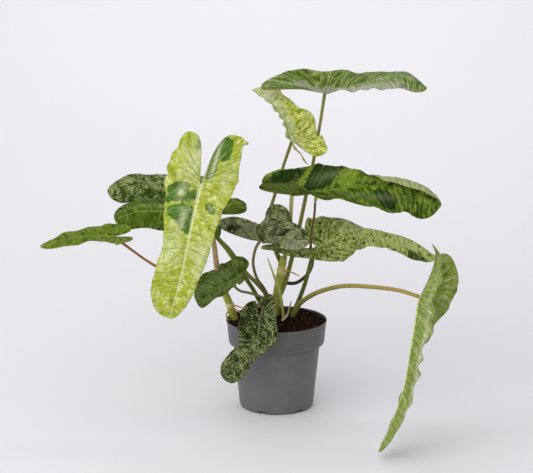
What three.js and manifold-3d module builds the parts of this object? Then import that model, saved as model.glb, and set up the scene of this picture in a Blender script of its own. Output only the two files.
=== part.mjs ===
// Potted variegated arrow-leaf philodendron: a grower's pot of potting mix, two leafy stems and a
// short crown, thirteen arrow-shaped leaves on their stalks, one leaf that is still rolled, and the
// sheaths of new and spent leaves. Millimetres, +Z up. The origin is the middle of the pot's foot.

import * as THREE from "three";
import Module from "manifold-3d";

const wasm = await Module();
wasm.setup();

// Driving dimensions
const POT_HEIGHT = 150;
const POT_RIM_RADIUS = 85;
const POT_FOOT_RADIUS = 59.5;
const POT_WALL = 1.6;
const COLLAR_HEIGHT = 38;
const SOIL_LEVEL = 146;
const FIT = 0.3;
const BLADE_THICKNESS = 0.9;
const RIB_DEPTH = 2.2;
const RIB_HALF_WIDTH = 2.4;

const POT_SIDES = 40;
const STALK_SIDES = 7;
const STEM_SIDES = 10;

// Colours, as in the photo
const COLOURS = {
  pot: "#5f6165",
  soil: "#3a241d",
  stem: "#8f9f45",
  crown: "#5f7038",
  pale: "#b3c45a",
  green: "#6f9148",
  mottled: "#7f9a58",
  dark: "#45613a",
  oliveStalk: "#8c8746",
  greenStalk: "#5f6b33",
  brownStalk: "#7d6547",
  paleStalk: "#b6ad6c",
  sheath: "#a9b46a",
  drySheath: "#8a6a4c",
};

const group = new THREE.Group();

// A named mesh of a closed solid, in its own matt or waxy material
function addPiece(name, solid, colour, roughness = 0.5) {
  const mesh = solid.getMesh();
  const geometry = new THREE.BufferGeometry();
  geometry.setAttribute("position", new THREE.BufferAttribute(mesh.vertProperties, 3));
  geometry.setIndex(new THREE.BufferAttribute(mesh.triVerts, 1));
  geometry.computeVertexNormals();
  const material = new THREE.MeshStandardMaterial({ color: colour, roughness, metalness: 0 });
  const piece = new THREE.Mesh(geometry, material);
  piece.name = name;
  group.add(piece);
}

// A solid from corner points and triangles of their numbers
function solidFrom(points, triangles) {
  return new wasm.Manifold(
    new wasm.Mesh({
      numProp: 3,
      vertProperties: new Float32Array(points.flatMap((p) => [p.x, p.y, p.z])),
      triVerts: new Uint32Array(triangles.flat()),
    }),
  );
}

// The largest body of a solid that a cut has left in several
function largest(solid) {
  return solid.decompose().reduce((a, b) => (a.volume() > b.volume() ? a : b));
}

// The value at t, from 0 to 1, between evenly spaced keys, eased in and out at each
function ease(keys, t) {
  const place = Math.min(Math.max(t, 0), 1) * (keys.length - 1);
  const i = Math.min(Math.floor(place), keys.length - 2);
  const f = place - i;
  return THREE.MathUtils.lerp(keys[i], keys[i + 1], f * f * (3 - 2 * f));
}

// A smooth line through points, measured by its length from the first
class Rail {
  static STEPS = 40;

  constructor(points) {
    const vectors = points.map((p) => new THREE.Vector3(...p));
    this.curve = new THREE.CatmullRomCurve3(vectors, false, "centripetal");
    this.curve.arcLengthDivisions = (points.length - 1) * Rail.STEPS;
    this.lengths = this.curve.getLengths();
    this.length = this.lengths.at(-1);
  }

  // Length at one of the given points
  lengthAtPoint(index) {
    return this.lengths[index * Rail.STEPS];
  }

  // Point at a length, going straight on before the start
  at(length) {
    const point = this.curve.getPointAt(THREE.MathUtils.clamp(length / this.length, 0, 1));
    if (length < 0) {
      point.addScaledVector(this.curve.getTangentAt(0), length);
    }
    return point;
  }

  // Direction at a length, taken over a short stretch so that a kink is rounded
  along(length, reach = 4) {
    return this.at(Math.min(length + reach, this.length)).sub(this.at(length - reach)).normalize();
  }
}

// A round bar along points. Its radii are spread evenly over its length, and its ends are flat.
function bar(points, radii, sides, grow = 0) {
  const rail = new Rail(points);
  const steps = Math.max(4, Math.min(14, Math.round(rail.length / 16)));
  const frames = rail.curve.computeFrenetFrames(steps);
  const ring = (i) => {
    const centre = rail.curve.getPointAt(i / steps);
    const last = radii.length - 1;
    const place = (i / steps) * last;
    const k = Math.min(Math.floor(place), last - 1);
    const radius = THREE.MathUtils.lerp(radii[k], radii[k + 1], place - k) + grow;
    return Array.from({ length: sides }, (_, j) => {
      const turn = (2 * Math.PI * j) / sides;
      return centre
        .clone()
        .addScaledVector(frames.normals[i], radius * Math.cos(turn))
        .addScaledVector(frames.binormals[i], radius * Math.sin(turn));
    });
  };
  const rings = Array.from({ length: steps + 1 }, (_, i) => ring(i)).flat();
  const triangles = [];
  for (let i = 0; i < steps; i += 1) {
    for (let j = 0; j < sides; j += 1) {
      const a = i * sides + j;
      const b = i * sides + ((j + 1) % sides);
      triangles.push([a, b, b + sides], [a, b + sides, a + sides]);
    }
  }
  const end = steps * sides;
  for (let j = 1; j < sides - 1; j += 1) {
    triangles.push([0, j + 1, j], [end, end + j, end + j + 1]);
  }
  return solidFrom(rings, triangles);
}

// Half width of a blade over its greatest, from the stalk (0) to the tip (1)
const BLADE_WIDTHS = [1, 0.95, 0.8, 0.72, 0.72, 0.7, 0.66];

// How a blade's margins usually lie, where a leaf doesn't say otherwise
const LEAF_HABIT = {
  junction: 1,
  roundness: 2.4,
  up: [0, 0, 1],
  gap: [0.15, 0.15],
  tip: [5, 5],
  base: [BLADE_WIDTHS, BLADE_WIDTHS],
  nicks: [],
  rows: 16,
};

// Share of a blade's rows that lie on the ear lobe, and how closely the others crowd to the tip
const LOBE_ROWS = 0.34;
const TIP_CROWDING = 1.35;

// Places across a half blade, from the rib, where each row has a point. The first is the rib's side.
const ROW_SHARES = [0.2, 0.6, 1];

// Points of one half of a blade, in rows from the end of its ear lobe to the tip. Each row starts at
// the rib, or at the lobe's inner edge, and ends at the margin. A row is an arc: it leaves the rib at
// the fold angle, turns by the curl angle on its way to the margin, and is waved there. A point of it
// lies at the end of the chord from the rib.
function halfBlade(leaf, half) {
  const side = half === 0 ? -1 : 1;
  const rail = new Rail(leaf.spine);
  const start = rail.lengthAtPoint(leaf.junction);
  const fore = rail.length - start;
  const [out, back] = leaf.lobe[half];
  const width = leaf.width[half];
  const lobeRows = Math.round(leaf.rows * LOBE_ROWS);
  const bladeRows = leaf.rows - lobeRows;
  const up = new THREE.Vector3(...leaf.up);
  const places = [];
  for (let i = lobeRows; i >= 0; i -= 1) {
    places.push(-back * Math.sin((Math.PI / 2) * (i / lobeRows)));
  }
  for (let i = 1; i <= bladeRows; i += 1) {
    places.push(fore * (1 - (1 - i / bladeRows) ** TIP_CROWDING));
  }
  return places.map((place) => {
    const onLobe = Math.min(Math.max(-place / back, 0), 1);
    const onBlade = Math.min(Math.max(place / fore, 0), 1);
    const roundEnd = (1 - onLobe ** leaf.roundness) ** (1 / leaf.roundness);
    const tipEnd = Math.sqrt(1 - onBlade ** leaf.tip[half]);
    const margin = place < 0 ? out + (1 - out) * roundEnd : ease(leaf.base[half], onBlade) * tipEnd;
    const jags = leaf.nicks
      .filter(([nicked]) => nicked === half)
      .map(([, at, size, spread]) => size * Math.exp(-(((place - at) / spread) ** 2)));
    const outer = Math.max(margin + jags.reduce((a, b) => a + b, 0) / width, 0);
    const inner = onLobe > 0 ? out - (out - leaf.gap[half] * onLobe ** 0.7) * roundEnd : 0;
    const middle = rail.at(start + place);
    const along = rail.along(start + place);
    const upward = up.clone().addScaledVector(along, -up.dot(along)).normalize();
    const across = along.clone().cross(upward).multiplyScalar(side);
    const whole = Math.min(Math.max((start + place) / rail.length, 0), 1);
    const fold = THREE.MathUtils.degToRad(ease(leaf.fold[half], whole));
    const curl = THREE.MathUtils.degToRad(ease(leaf.curl[half], whole));
    const [height, count, phase] = leaf.wave[half];
    const fade = 1 - Math.abs(2 * whole - 1) ** 6;
    const ripple = height * fade * Math.sin(2 * Math.PI * count * whole + phase);
    const [ribShare, ...shares] = ROW_SHARES;
    const besideRib = Math.min(RIB_HALF_WIDTH / Math.max(outer * width, 1), ribShare);
    return [0, besideRib, ...shares].map((share) => {
      const reach = (inner + (outer - inner) * share) * width;
      const turn = curl * (reach / Math.max(outer * width, 1e-6));
      const chord = Math.abs(turn) < 1e-6 ? reach : (reach * Math.sin(turn / 2)) / (turn / 2);
      const wave = ripple * (reach / width) ** 1.6;
      const flat = chord * Math.cos(fold + turn / 2) - wave * Math.sin(fold + turn);
      const raised = chord * Math.sin(fold + turn / 2) + wave * Math.cos(fold + turn);
      const point = middle.clone().addScaledVector(across, flat).addScaledVector(upward, raised);
      const onRib = share === 0 && onLobe === 0;
      return { point, depth: onRib ? THREE.MathUtils.lerp(RIB_DEPTH, 1, onBlade) : BLADE_THICKNESS };
    });
  });
}

// A blade: its upper side is the two halves' rows, its lower side lies a thickness below, split into
// triangles alike, and a rim closes it. Grown, it is the room that a stalk leaves free round it.
function blade(leaf, grow = 0) {
  const corners = [];
  const depths = [];
  const known = new Map();
  const number = ({ point, depth }) => {
    const key = point.toArray().map((v) => Math.round(v * 500)).join();
    if (!known.has(key)) {
      known.set(key, corners.length);
      corners.push(point);
      depths.push(depth);
    }
    return known.get(key);
  };
  const upper = [];
  for (const half of [0, 1]) {
    const rows = halfBlade(leaf, half).map((row) => row.map(number));
    for (let i = 0; i < rows.length - 1; i += 1) {
      for (let j = 0; j < rows[i].length - 1; j += 1) {
        const [a, b, c, d] = [rows[i][j], rows[i][j + 1], rows[i + 1][j + 1], rows[i + 1][j]];
        const pair = half === 1 ? [[a, b, c], [a, c, d]] : [[a, c, b], [a, d, c]];
        upper.push(...pair.filter(([p, q, r]) => p !== q && q !== r && r !== p));
      }
    }
  }
  const normals = corners.map(() => new THREE.Vector3());
  const edges = new Map();
  for (const triangle of upper) {
    const [a, b, c] = triangle.map((n) => corners[n]);
    const normal = b.clone().sub(a).cross(c.clone().sub(a));
    triangle.forEach((n, i) => {
      normals[n].add(normal);
      edges.set(`${n},${triangle[(i + 1) % 3]}`, [n, triangle[(i + 1) % 3]]);
    });
  }
  normals.forEach((normal) => normal.normalize());
  const count = corners.length;
  const outward = corners.map(() => new THREE.Vector3());
  const rim = [];
  for (const [a, b] of edges.values()) {
    if (!edges.has(`${b},${a}`)) {
      rim.push([b, a, a + count], [b, a + count, b + count]);
      const away = corners[b].clone().sub(corners[a]).normalize();
      outward[a].add(away.clone().cross(normals[a]));
      outward[b].add(away.clone().cross(normals[b]));
    }
  }
  corners.forEach((p, i) => p.addScaledVector(outward[i].normalize(), 1.5 * grow));
  const top = corners.map((p, i) => p.clone().addScaledVector(normals[i], grow));
  const bottom = corners.map((p, i) => p.clone().addScaledVector(normals[i], -depths[i] - grow));
  const lower = upper.map(([a, b, c]) => [a + count, c + count, b + count]);
  return solidFrom([...top, ...bottom], [...upper, ...lower, ...rim]);
}

// Pot: one moulded shell with a collar, turned about +Z, with drain notches round its foot
function makePot() {
  const collarFoot = POT_HEIGHT - COLLAR_HEIGHT;
  const outside = [
    [0, 0],
    [POT_FOOT_RADIUS, 0],
    [62, 2.5],
    [63, 7],
    [73.8, collarFoot - 4],
    [79.5, collarFoot],
    [80.6, collarFoot + 4],
    [POT_RIM_RADIUS - 0.6, POT_HEIGHT - 4],
    [POT_RIM_RADIUS, POT_HEIGHT - 3],
    [POT_RIM_RADIUS, POT_HEIGHT],
  ];
  const inside = [
    [POT_RIM_RADIUS - POT_WALL, POT_HEIGHT],
    [78.8, collarFoot + 3],
    [72.2, collarFoot - 4],
    [61.2, 7],
    [58, 2],
    [0, 2],
  ];
  const profile = [...outside, ...inside].map(([r, z]) => new THREE.Vector2(r, z));
  const lathe = new THREE.LatheGeometry(profile, POT_SIDES);
  let shell = latheSolid(lathe);
  const notches = 6;
  const notchDepth = 18;
  const notchWidth = 13;
  const notchHeight = 5;
  const below = 2;
  const firstNotch = THREE.MathUtils.degToRad(-112);
  for (let i = 0; i < notches; i += 1) {
    const notch = new THREE.BoxGeometry(notchDepth, notchWidth, notchHeight + below);
    const turn = firstNotch + (2 * Math.PI * i) / notches;
    notch.translate(POT_FOOT_RADIUS, 0, (notchHeight - below) / 2);
    notch.rotateZ(turn);
    shell = shell.subtract(geometrySolid(notch));
  }
  return shell;
}

// A closed geometry as a solid, its doubled corners made one
function geometrySolid(geometry) {
  const position = geometry.getAttribute("position");
  const corners = [];
  const known = new Map();
  const numbers = Array.from({ length: position.count }, (_, i) => {
    const point = new THREE.Vector3().fromBufferAttribute(position, i);
    const key = point.toArray().map((v) => Math.round(v * 1000)).join();
    if (!known.has(key)) {
      known.set(key, corners.length);
      corners.push(point);
    }
    return known.get(key);
  });
  const index = [...geometry.index.array].map((i) => numbers[i]);
  const triangles = [];
  for (let i = 0; i < index.length; i += 3) {
    const [a, b, c] = index.slice(i, i + 3);
    if (a !== b && b !== c && c !== a) {
      triangles.push([a, b, c]);
    }
  }
  return solidFrom(corners, triangles);
}

// A turned profile stands along Y, so it is laid up along Z
function latheSolid(lathe) {
  lathe.rotateX(Math.PI / 2);
  return geometrySolid(lathe);
}

// Potting mix: it fills the pot, is uneven on top, and has plain holes for what stands in it
function makeSoil(holes) {
  const wallGap = POT_WALL + FIT;
  const topRadius = 82.2 - FIT;
  const profile = [
    [0, 2 + FIT],
    [57.6, 2 + FIT],
    [60.6, 7.5],
    [73.8 - wallGap, POT_HEIGHT - COLLAR_HEIGHT - 4],
    [78.4, POT_HEIGHT - COLLAR_HEIGHT + 3],
    [topRadius - 0.2, SOIL_LEVEL - 3],
    [68, SOIL_LEVEL],
    [52, SOIL_LEVEL],
    [34, SOIL_LEVEL],
    [16, SOIL_LEVEL],
    [0, SOIL_LEVEL],
  ].map(([r, z]) => new THREE.Vector2(r, z));
  const lathe = new THREE.LatheGeometry(profile, 30);
  lathe.rotateX(Math.PI / 2);
  const position = lathe.getAttribute("position");
  for (let i = 0; i < position.count; i += 1) {
    if (position.getZ(i) > SOIL_LEVEL - 1) {
      const x = position.getX(i);
      const y = position.getY(i);
      const lumps = Math.sin(0.21 * x + 1) * Math.cos(0.17 * y) + 0.6 * Math.sin(0.37 * (x + y));
      position.setZ(i, SOIL_LEVEL + 1.2 * lumps);
    }
  }
  return holes.reduce((soil, hole) => soil.subtract(hole), geometrySolid(lathe));
}

// Stems and the crown, from their feet in the mix to their tops
const STEMS = {
  stem_left: {
    path: [[-58, 12, 100], [-70, 12, 139], [-80, 4, 176], [-91, -5, 204]],
    radii: [6.5, 7, 6.6, 6],
    ring: 2,
    roots: [
      [[-80, 2, 176], [-68, -6, 177], [-58, -10, 172]],
      [[-78, 1, 172], [-68, -7, 170], [-60, -10, 164]],
      [[-78, 8, 166], [-85, 2, 155], [-79, -6, 147]],
    ],
    colour: COLOURS.stem,
  },
  stem_middle: {
    path: [[-3, 31, 96], [-3, 30, 139], [0, 30, 180], [5, 30, 210], [8, 30, 228], [11, 30, 251]],
    radii: [7.5, 7.5, 7.2, 7, 7.2, 7],
    ring: 4,
    roots: [[[8, 26, 228], [24, 20, 230], [40, 17, 223]]],
    colour: COLOURS.stem,
  },
  crown: {
    path: [[-18, 24, 100], [-20, 24, 145], [-18, 24, 166], [-16, 24, 184]],
    radii: [8, 9, 8, 6],
    roots: [],
    colour: COLOURS.crown,
  },
};

// A stem, with a leaf-scar ring and the thin roots that leave it there
function makeStem({ path, radii, ring, roots }, grow = 0) {
  let stem = bar(path, radii, STEM_SIDES, grow);
  if (ring !== undefined) {
    const [x, y, z] = path[ring];
    const up = new THREE.Vector3(...path[ring]).sub(new THREE.Vector3(...path[ring - 1])).normalize();
    const offset = (s) => [x + up.x * s, y + up.y * s, z + up.z * s];
    const swelling = [6.6, 8.1, 6.6];
    stem = stem.add(bar([offset(-3.5), offset(0), offset(3.5)], swelling, STEM_SIDES, grow));
  }
  for (const root of roots) {
    stem = stem.add(bar(root, [1.3, 1.1, 0.8], 5, grow));
  }
  return largest(stem);
}

// Leaves. The spine runs from behind the ear lobes, through the stalk's end, to the tip. Pairs are
// for the left and right half, looking from the stalk to the tip with the upper side up. A lobe is
// how far out its end lies, over the half width, and how far back. Its roundness is 2 for an ellipse.
// A wave is height, count, phase. A nick is its half, its place from the stalk, its size and its spread.
const LEAVES = [
  {
    // Top: level, its near half folded up at the stalk and hanging at the tip
    spine: [
      [-25, 117, 515], [39, 105, 523], [81, 95, 520], [107, 88, 529],
      [132, 81, 535], [171, 69, 548], [210, 55, 555], [249, 44, 534],
    ],
    junction: 2,
    width: [46, 46],
    lobe: [[0.45, 113], [0.5, 50]],
    roundness: 3,
    gap: [0.1, 0.35],
    tip: [9, 6],
    fold: [[36, 50, 50, 28, 6, 0], [45, 38, 20, -7, -30, -40]],
    curl: [[-5, -5], [-5, -5, -15, -20]],
    wave: [[1, 3, 0], [2.6, 12, 0]],
    colour: COLOURS.green,
    stalk: {
      path: [
        [3, 32, 178], [10, 36, 192], [18, 44, 214], [38, 68, 291], [49, 84, 340],
        [62, 97, 400], [74, 105, 468], [80.8, 95.6, 517.7],
      ],
      radii: [4, 3.9, 3.4, 2.8, 2.6],
      colour: COLOURS.greenStalk,
      from: "stem_middle",
    },
  },
  {
    // Upper left: rises to the back, its left half folded up
    spine: [
      [61, -10, 403], [25, 45, 446], [17, 85, 469],
      [-3, 125, 494], [-23, 155, 507], [-42, 180, 515],
    ],
    width: [20, 52],
    gap: [0, 0.25],
    nicks: [[1, -2, 3, 10]],
    lobe: [[0.1, 62], [0.55, 52]],
    roundness: 3.2,
    up: [0.3, -1, 0.5],
    base: [BLADE_WIDTHS, [1, 0.97, 0.93, 0.64, 0.54, 0.72, 0.66]],
    fold: [[55, 62, 52, 45, 42, 42], [0, 0, 0, -10]],
    curl: [[0, 0], [0, 0, 10, 20]],
    wave: [[3, 9, 0], [3, 4, 1]],
    colour: COLOURS.pale,
    stalk: {
      path: [
        [8, 32, 238], [-2, 46, 258], [-10, 60, 285], [-12, 68, 303], [-10, 74, 326],
        [-5, 76, 343], [10, 68, 396], [24.9, 45.6, 444.8],
      ],
      radii: [3.6, 3.2, 2.7, 2.6],
      colour: COLOURS.oliveStalk,
      from: "stem_middle",
    },
  },
  {
    // Long middle leaf: level, its far half rolled over towards the tip
    spine: [
      [-25, 20, 359], [25, 15, 360], [59, 10, 364], [110, 2, 374],
      [164, -6, 379], [219, -20, 376], [268, -31, 350],
    ],
    width: [52, 56],
    lobe: [[0.5, 52], [0.5, 52]],
    tip: [8, 22],
    base: [[1, 1, 0.82, 0.57, 0.72, 0.75, 0.7], [1, 0.82, 0.66, 0.67, 0.82, 0.68, 0.7]],
    fold: [[50, 52, 56, 62, 57, 15, 0, 20, 34, 28, 20], [40, 36, -10, -45, -66, -70]],
    curl: [[-10, -10, -10, -10, -8, 60, 200, 240, 250, 230, 200], [-10, -10]],
    wave: [[2, 3, 0], [2, 5, 1]],
    rows: 22,
    colour: COLOURS.green,
    stalk: {
      path: [[12, 30, 240], [16, 32, 262], [22, 36, 290], [24, 30, 328], [25, 16, 359]],
      radii: [3.6, 3.4, 3.2],
      colour: COLOURS.sheath,
      from: "stem_middle",
    },
  },
  {
    // Large pale leaf: hangs at the front left, facing out
    spine: [
      [-97, -66, 473], [-122, -70, 392], [-133, -84, 346],
      [-143, -98, 300], [-155, -106, 244], [-174, -98, 177],
    ],
    width: [50, 54],
    lobe: [[0.75, 94], [0.7, 78]],
    roundness: 3.2,
    gap: [0.07, 0.3],
    up: [0, -1, 0.25],
    tip: [6, 9],
    base: [[1, 0.88, 0.81, 0.71, 0.62, 0.56, 0.5], [1.05, 0.93, 0.81, 0.72, 0.81, 0.86, 0.88]],
    nicks: [[0, -87, 10, 4], [0, -20, 6, 30], [1, -22, 7, 20]],
    fold: [[8, 8], [8, 8]],
    curl: [[-12, -12], [-12, -12]],
    wave: [[3, 4, 0], [3, 4, 1]],
    rows: 20,
    colour: COLOURS.pale,
    stalk: {
      path: [[-90, -4, 201], [-99, -14, 241], [-104, -25, 288], [-114, -50, 340], [-121.5, -69, 390]],
      radii: [5, 4.6, 4, 3.4, 3.2],
      colour: COLOURS.paleStalk,
      from: "stem_left",
    },
  },
  {
    // Left, behind the pale leaf: roof-shaped
    spine: [[-55, 80, 304], [-120, 60, 318], [-193, 52, 324], [-232, 48, 325], [-275, 42, 313]],
    width: [48, 44],
    base: [[1, 0.95, 0.84, 0.75, 0.67, 0.61, 0.52], BLADE_WIDTHS],
    roundness: 3.4,
    lobe: [[0.5, 26], [0.65, 75]],
    tip: [12, 12],
    fold: [[-45, -45, -48, -55], [52, 46, 40, 35]],
    curl: [[-10, -10], [-15, -15]],
    wave: [[2, 3, 0], [2, 4, 1]],
    colour: COLOURS.green,
    stalk: {
      path: [
        [-19, 25, 158], [-26, 28, 168], [-40, 28, 194], [-55, 30, 217],
        [-82, 37, 258], [-106.5, 49.5, 286.5], [-119.5, 60, 317],
      ],
      radii: [3.5, 3.4, 2.9],
      colour: COLOURS.greenStalk,
      from: "crown",
    },
  },
  {
    // Left, highest and furthest back
    spine: [[-96, 150, 342], [-152, 137, 345], [-203, 123, 352], [-245, 110, 358], [-291, 97, 347]],
    width: [42, 44],
    lobe: [[0.5, 50], [0.5, 50]],
    tip: [10, 7],
    fold: [[-45, -45, -50, -55], [35, 38, 38, 30]],
    curl: [[-10, -10], [-15, -15]],
    wave: [[2, 3, 0], [2, 4, 1]],
    colour: COLOURS.dark,
    stalk: {
      path: [
        [-16, 26, 176], [-20, 36, 186], [-35, 50, 200], [-52, 68, 212],
        [-82, 98, 246], [-107, 121, 268], [-130, 141, 312], [-151, 137, 343],
      ],
      radii: [3.5, 3.4, 2.9],
      colour: COLOURS.oliveStalk,
      from: "crown",
    },
  },
  {
    // Far left: slender and level
    spine: [[-225, -34, 303], [-267, -40, 301], [-306, -46, 303], [-344, -50, 300], [-387, -50, 287]],
    width: [36, 36],
    lobe: [[0.45, 30], [0.5, 30]],
    base: [[0.8, 0.7, 0.5, 0.75, 0.85, 0.8, 0.7], BLADE_WIDTHS],
    fold: [[-2, -4, -12, -10], [28, 25, 18, 8]],
    curl: [[-10, -10], [-10, -10]],
    wave: [[2, 3, 0], [2, 4, 1]],
    colour: COLOURS.green,
    stalk: {
      path: [
        [-87, 0, 194], [-96, -4, 199], [-136, -12, 213],
        [-200, -26, 247], [-252, -38, 288], [-266, -40, 299],
      ],
      radii: [2.6, 2.3, 2],
      colour: COLOURS.brownStalk,
      from: "stem_left",
    },
  },
  {
    // Small, low on the left
    spine: [[-43, -20, 243], [-70, -38, 228], [-93, -55, 221], [-112, -68, 209], [-124, -74, 189]],
    width: [13, 32],
    lobe: [[0.1, 18], [0.5, 40]],
    roundness: 3,
    nicks: [[1, 19, -7, 4], [1, 29, -2, 5]],
    gap: [0, 0],
    up: [0.1, -0.8, 0.6],
    tip: [3, 4],
    base: [[0.7, 1, 1.3, 1.3, 1.2, 1.15, 1.1], [1, 1.02, 1.02, 1.02, 0.97, 0.83, 0.6]],
    fold: [[10, 10], [12, 12]],
    curl: [[-10, -10], [-25, -10, -10, -10]],
    wave: [[2, 3, 0], [3, 3, 1]],
    colour: COLOURS.dark,
    stalk: {
      path: [
        [-17, 22, 172], [-25, 14, 183], [-45, 2, 194],
        [-60, -12, 201], [-69, -28, 213], [-70, -36.9, 226.3],
      ],
      radii: [2.2, 2.1, 2],
      colour: COLOURS.greenStalk,
      from: "crown",
    },
  },
  {
    // Centre: comes forward, its near half folded up round the stalk
    spine: [[-94, -2, 292], [-28, -30, 291], [-1, -50, 302], [25, -75, 305], [48, -97, 299]],
    width: [42, 38],
    lobe: [[0.62, 84], [0.5, 38]],
    fold: [[54, 50, 30, 58, 50, 30, 15], [10, 35, 50, 58, 68, 70, -5, -10, -20, -30, -35]],
    curl: [[-5, -5], [-10, -10]],
    wave: [[3, 3, 0.5], [2, 3, 1]],
    colour: COLOURS.mottled,
    stalk: {
      path: [
        [-15, 22, 176], [-17, 17, 188], [-23, 8, 203], [-32.5, -4, 220],
        [-39, -22, 252], [-35, -28, 277], [-28.6, -30, 288.6],
      ],
      radii: [2.8, 2.4, 2.3],
      colour: COLOURS.brownStalk,
      from: "crown",
    },
  },
  {
    // Right: arched like a roof, its far ear lobe standing up
    spine: [
      [-24, -20, 297], [66, 15, 271], [96, 20, 282], [126, 22, 299],
      [173, 18, 298], [223, 10, 286], [270, 5, 256],
    ],
    width: [56, 29],
    tip: [9, 7],
    base: [BLADE_WIDTHS, [1, 1.42, 1.3, 0.94, 1.02, 1.17, 1.2]],
    lobe: [[0.25, 20], [0.95, 106]],
    roundness: 2.6,
    gap: [0.35, 0.4],
    fold: [[60, 62, 45, -8, -40, -40], [-34, -30, -42, -55, -60, -50]],
    curl: [[-5, -5], [-10, -10]],
    wave: [[2, 3, 0], [4, 4, 1]],
    rows: 20,
    colour: COLOURS.mottled,
    stalk: {
      path: [
        [24, 44, 98], [25, 42, 140], [36, 36, 168], [48, 26, 204],
        [55, 14, 235], [59, 9, 253], [66, 14, 269],
      ],
      radii: [4, 3.6, 3.2],
      colour: COLOURS.greenStalk,
      from: "soil",
    },
  },
  {
    // Far right: hangs from a long stalk down to the surface, folded like a keel
    spine: [
      [240, -150, 319], [247, -151, 301], [244, -153, 279], [234, -157, 251], [226, -160, 231],
      [214, -190, 174], [198, -225, 100], [181, -245, 58], [157, -268, 13],
    ],
    junction: 4,
    width: [55, 52],
    lobe: [[0.25, 71], [0.2, 90]],
    up: [1, -0.1, 0.1],
    tip: [4, 4],
    base: [[1, 1, 0.95, 0.92, 0.9, 0.85, 0.7], [1, 0.95, 0.8, 0.72, 0.76, 0.79, 0.8]],
    nicks: [[1, 0, -7, 12], [1, 62, 7, 9], [1, 90, -5, 6], [1, 106, 5, 6], [1, 126, 12, 7], [1, 143, -4, 6]],
    fold: [[56, 68, 24, -5, -9, -12], [12, 26, 36, 28, 32, 34]],
    curl: [[0, 0], [0, 0]],
    wave: [[2.5, 8, 0], [2.8, 10, 4.27]],
    rows: 28,
    colour: COLOURS.green,
    stalk: {
      path: [
        [24, 30, 98], [26, 26, 141], [30, 18, 153], [39, 4, 175], [61, -25, 199],
        [81, -45, 212.5], [111, -75, 226.5], [144, -100, 232], [194, -137, 235.2], [223.8, -159.2, 231.1],
      ],
      radii: [4, 3.8, 3.6, 2.9],
      colour: COLOURS.oliveStalk,
      from: "soil",
    },
  },
  {
    // Small, in front of the pot: hangs over the rim, with a waist
    spine: [
      [-24, -88, 213], [-28, -100, 176], [-30, -108, 153],
      [-43, -112, 129], [-63, -110, 104], [-78, -108, 72],
    ],
    width: [28, 32],
    lobe: [[0.45, 44], [0.3, 30]],
    roundness: 2,
    up: [0, -1, 0.25],
    tip: [6, 6],
    base: [[1, 1.1, 0.85, 0.56, 0.72, 0.8, 0.7], [1, 1.1, 0.85, 0.58, 0.7, 0.88, 0.95]],
    fold: [[10, 10], [10, 10]],
    curl: [[-12, -12], [-12, -12]],
    wave: [[2, 3, 0], [2, 3, 1]],
    colour: COLOURS.dark,
    stalk: {
      path: [
        [-19, 19, 160], [-20, 10, 172], [-24, -10, 182],
        [-31, -50, 187], [-34, -80, 184], [-28, -98.5, 176],
      ],
      radii: [3, 2.8, 2.6],
      colour: COLOURS.oliveStalk,
      from: "crown",
    },
  },
  {
    // Small, upright, behind the centre leaf
    spine: [[4, -1, 276], [1, 4, 292], [-1, 12, 317], [-1, 16, 344]],
    width: [29, 27],
    nicks: [[0, 24, 11, 4]],
    lobe: [[0.5, 8], [0.5, 8]],
    up: [0, -1, 0.25],
    base: [[1, 1, 0.97, 0.93, 0.9, 0.85], [1, 1, 0.97, 0.93, 0.9, 0.85]],
    fold: [[-30, -30], [10, 10]],
    curl: [[-30, -30], [-12, -12]],
    wave: [[1, 3, 0], [1, 3, 1]],
    rows: 14,
    colour: COLOURS.dark,
    stalk: {
      path: [[8, 30, 236], [4, 27, 248], [0, 18, 266], [0.8, 6, 291]],
      radii: [2.4, 2.2, 2],
      colour: COLOURS.oliveStalk,
      from: "stem_middle",
    },
  },
].map((leaf) => ({ ...LEAF_HABIT, ...leaf }));

// Stalk of the youngest leaf, and that leaf, still rolled into a spear at its top
const YOUNG_STALK = {
  path: [
    [2, 36, 199], [6, 50, 200], [18, 53, 198.5], [32, 50, 199.5], [44, 43, 208], [56.5, 34, 225],
    [61, 25, 247], [57.5, 18, 262], [57, 12.5, 271.5], [57.5, 11, 287], [63, 12, 328], [64, 11, 348],
  ],
  radii: [2.9, 2.4, 1.9],
};
const YOUNG_LEAF = {
  path: [[64, 11, 348.5], [64.5, 10, 353], [65, 9, 358]],
  radii: [2.2, 2.8, 2.2],
};

// Sheaths: the pointed one of the next leaf, the curled one of a spent leaf, and a dry one
const SHEATHS = {
  new_sheath: {
    path: [[15, 12, 118], [13, 14, 142], [6, 8, 191], [-4, 2, 224], [-15, -2, 256]],
    radii: [2.4, 2.6, 2.4, 1.5, 0.6],
    colour: COLOURS.sheath,
  },
  curled_sheath: {
    path: [[-2, 1, 134], [2, 1, 143], [9, 2, 146], [18, 4, 155], [22, 2, 168], [25, 0, 181]],
    radii: [1.4, 2, 2, 1.6, 0.7],
    colour: COLOURS.sheath,
  },
  dry_sheath: {
    path: [[-14, 12, 134], [-13, 12, 146], [-9, 14, 158], [-7, 16, 172], [-13, 15, 186]],
    radii: [2, 3.4, 3, 1.2],
    colour: COLOURS.drySheath,
  },
};

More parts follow.
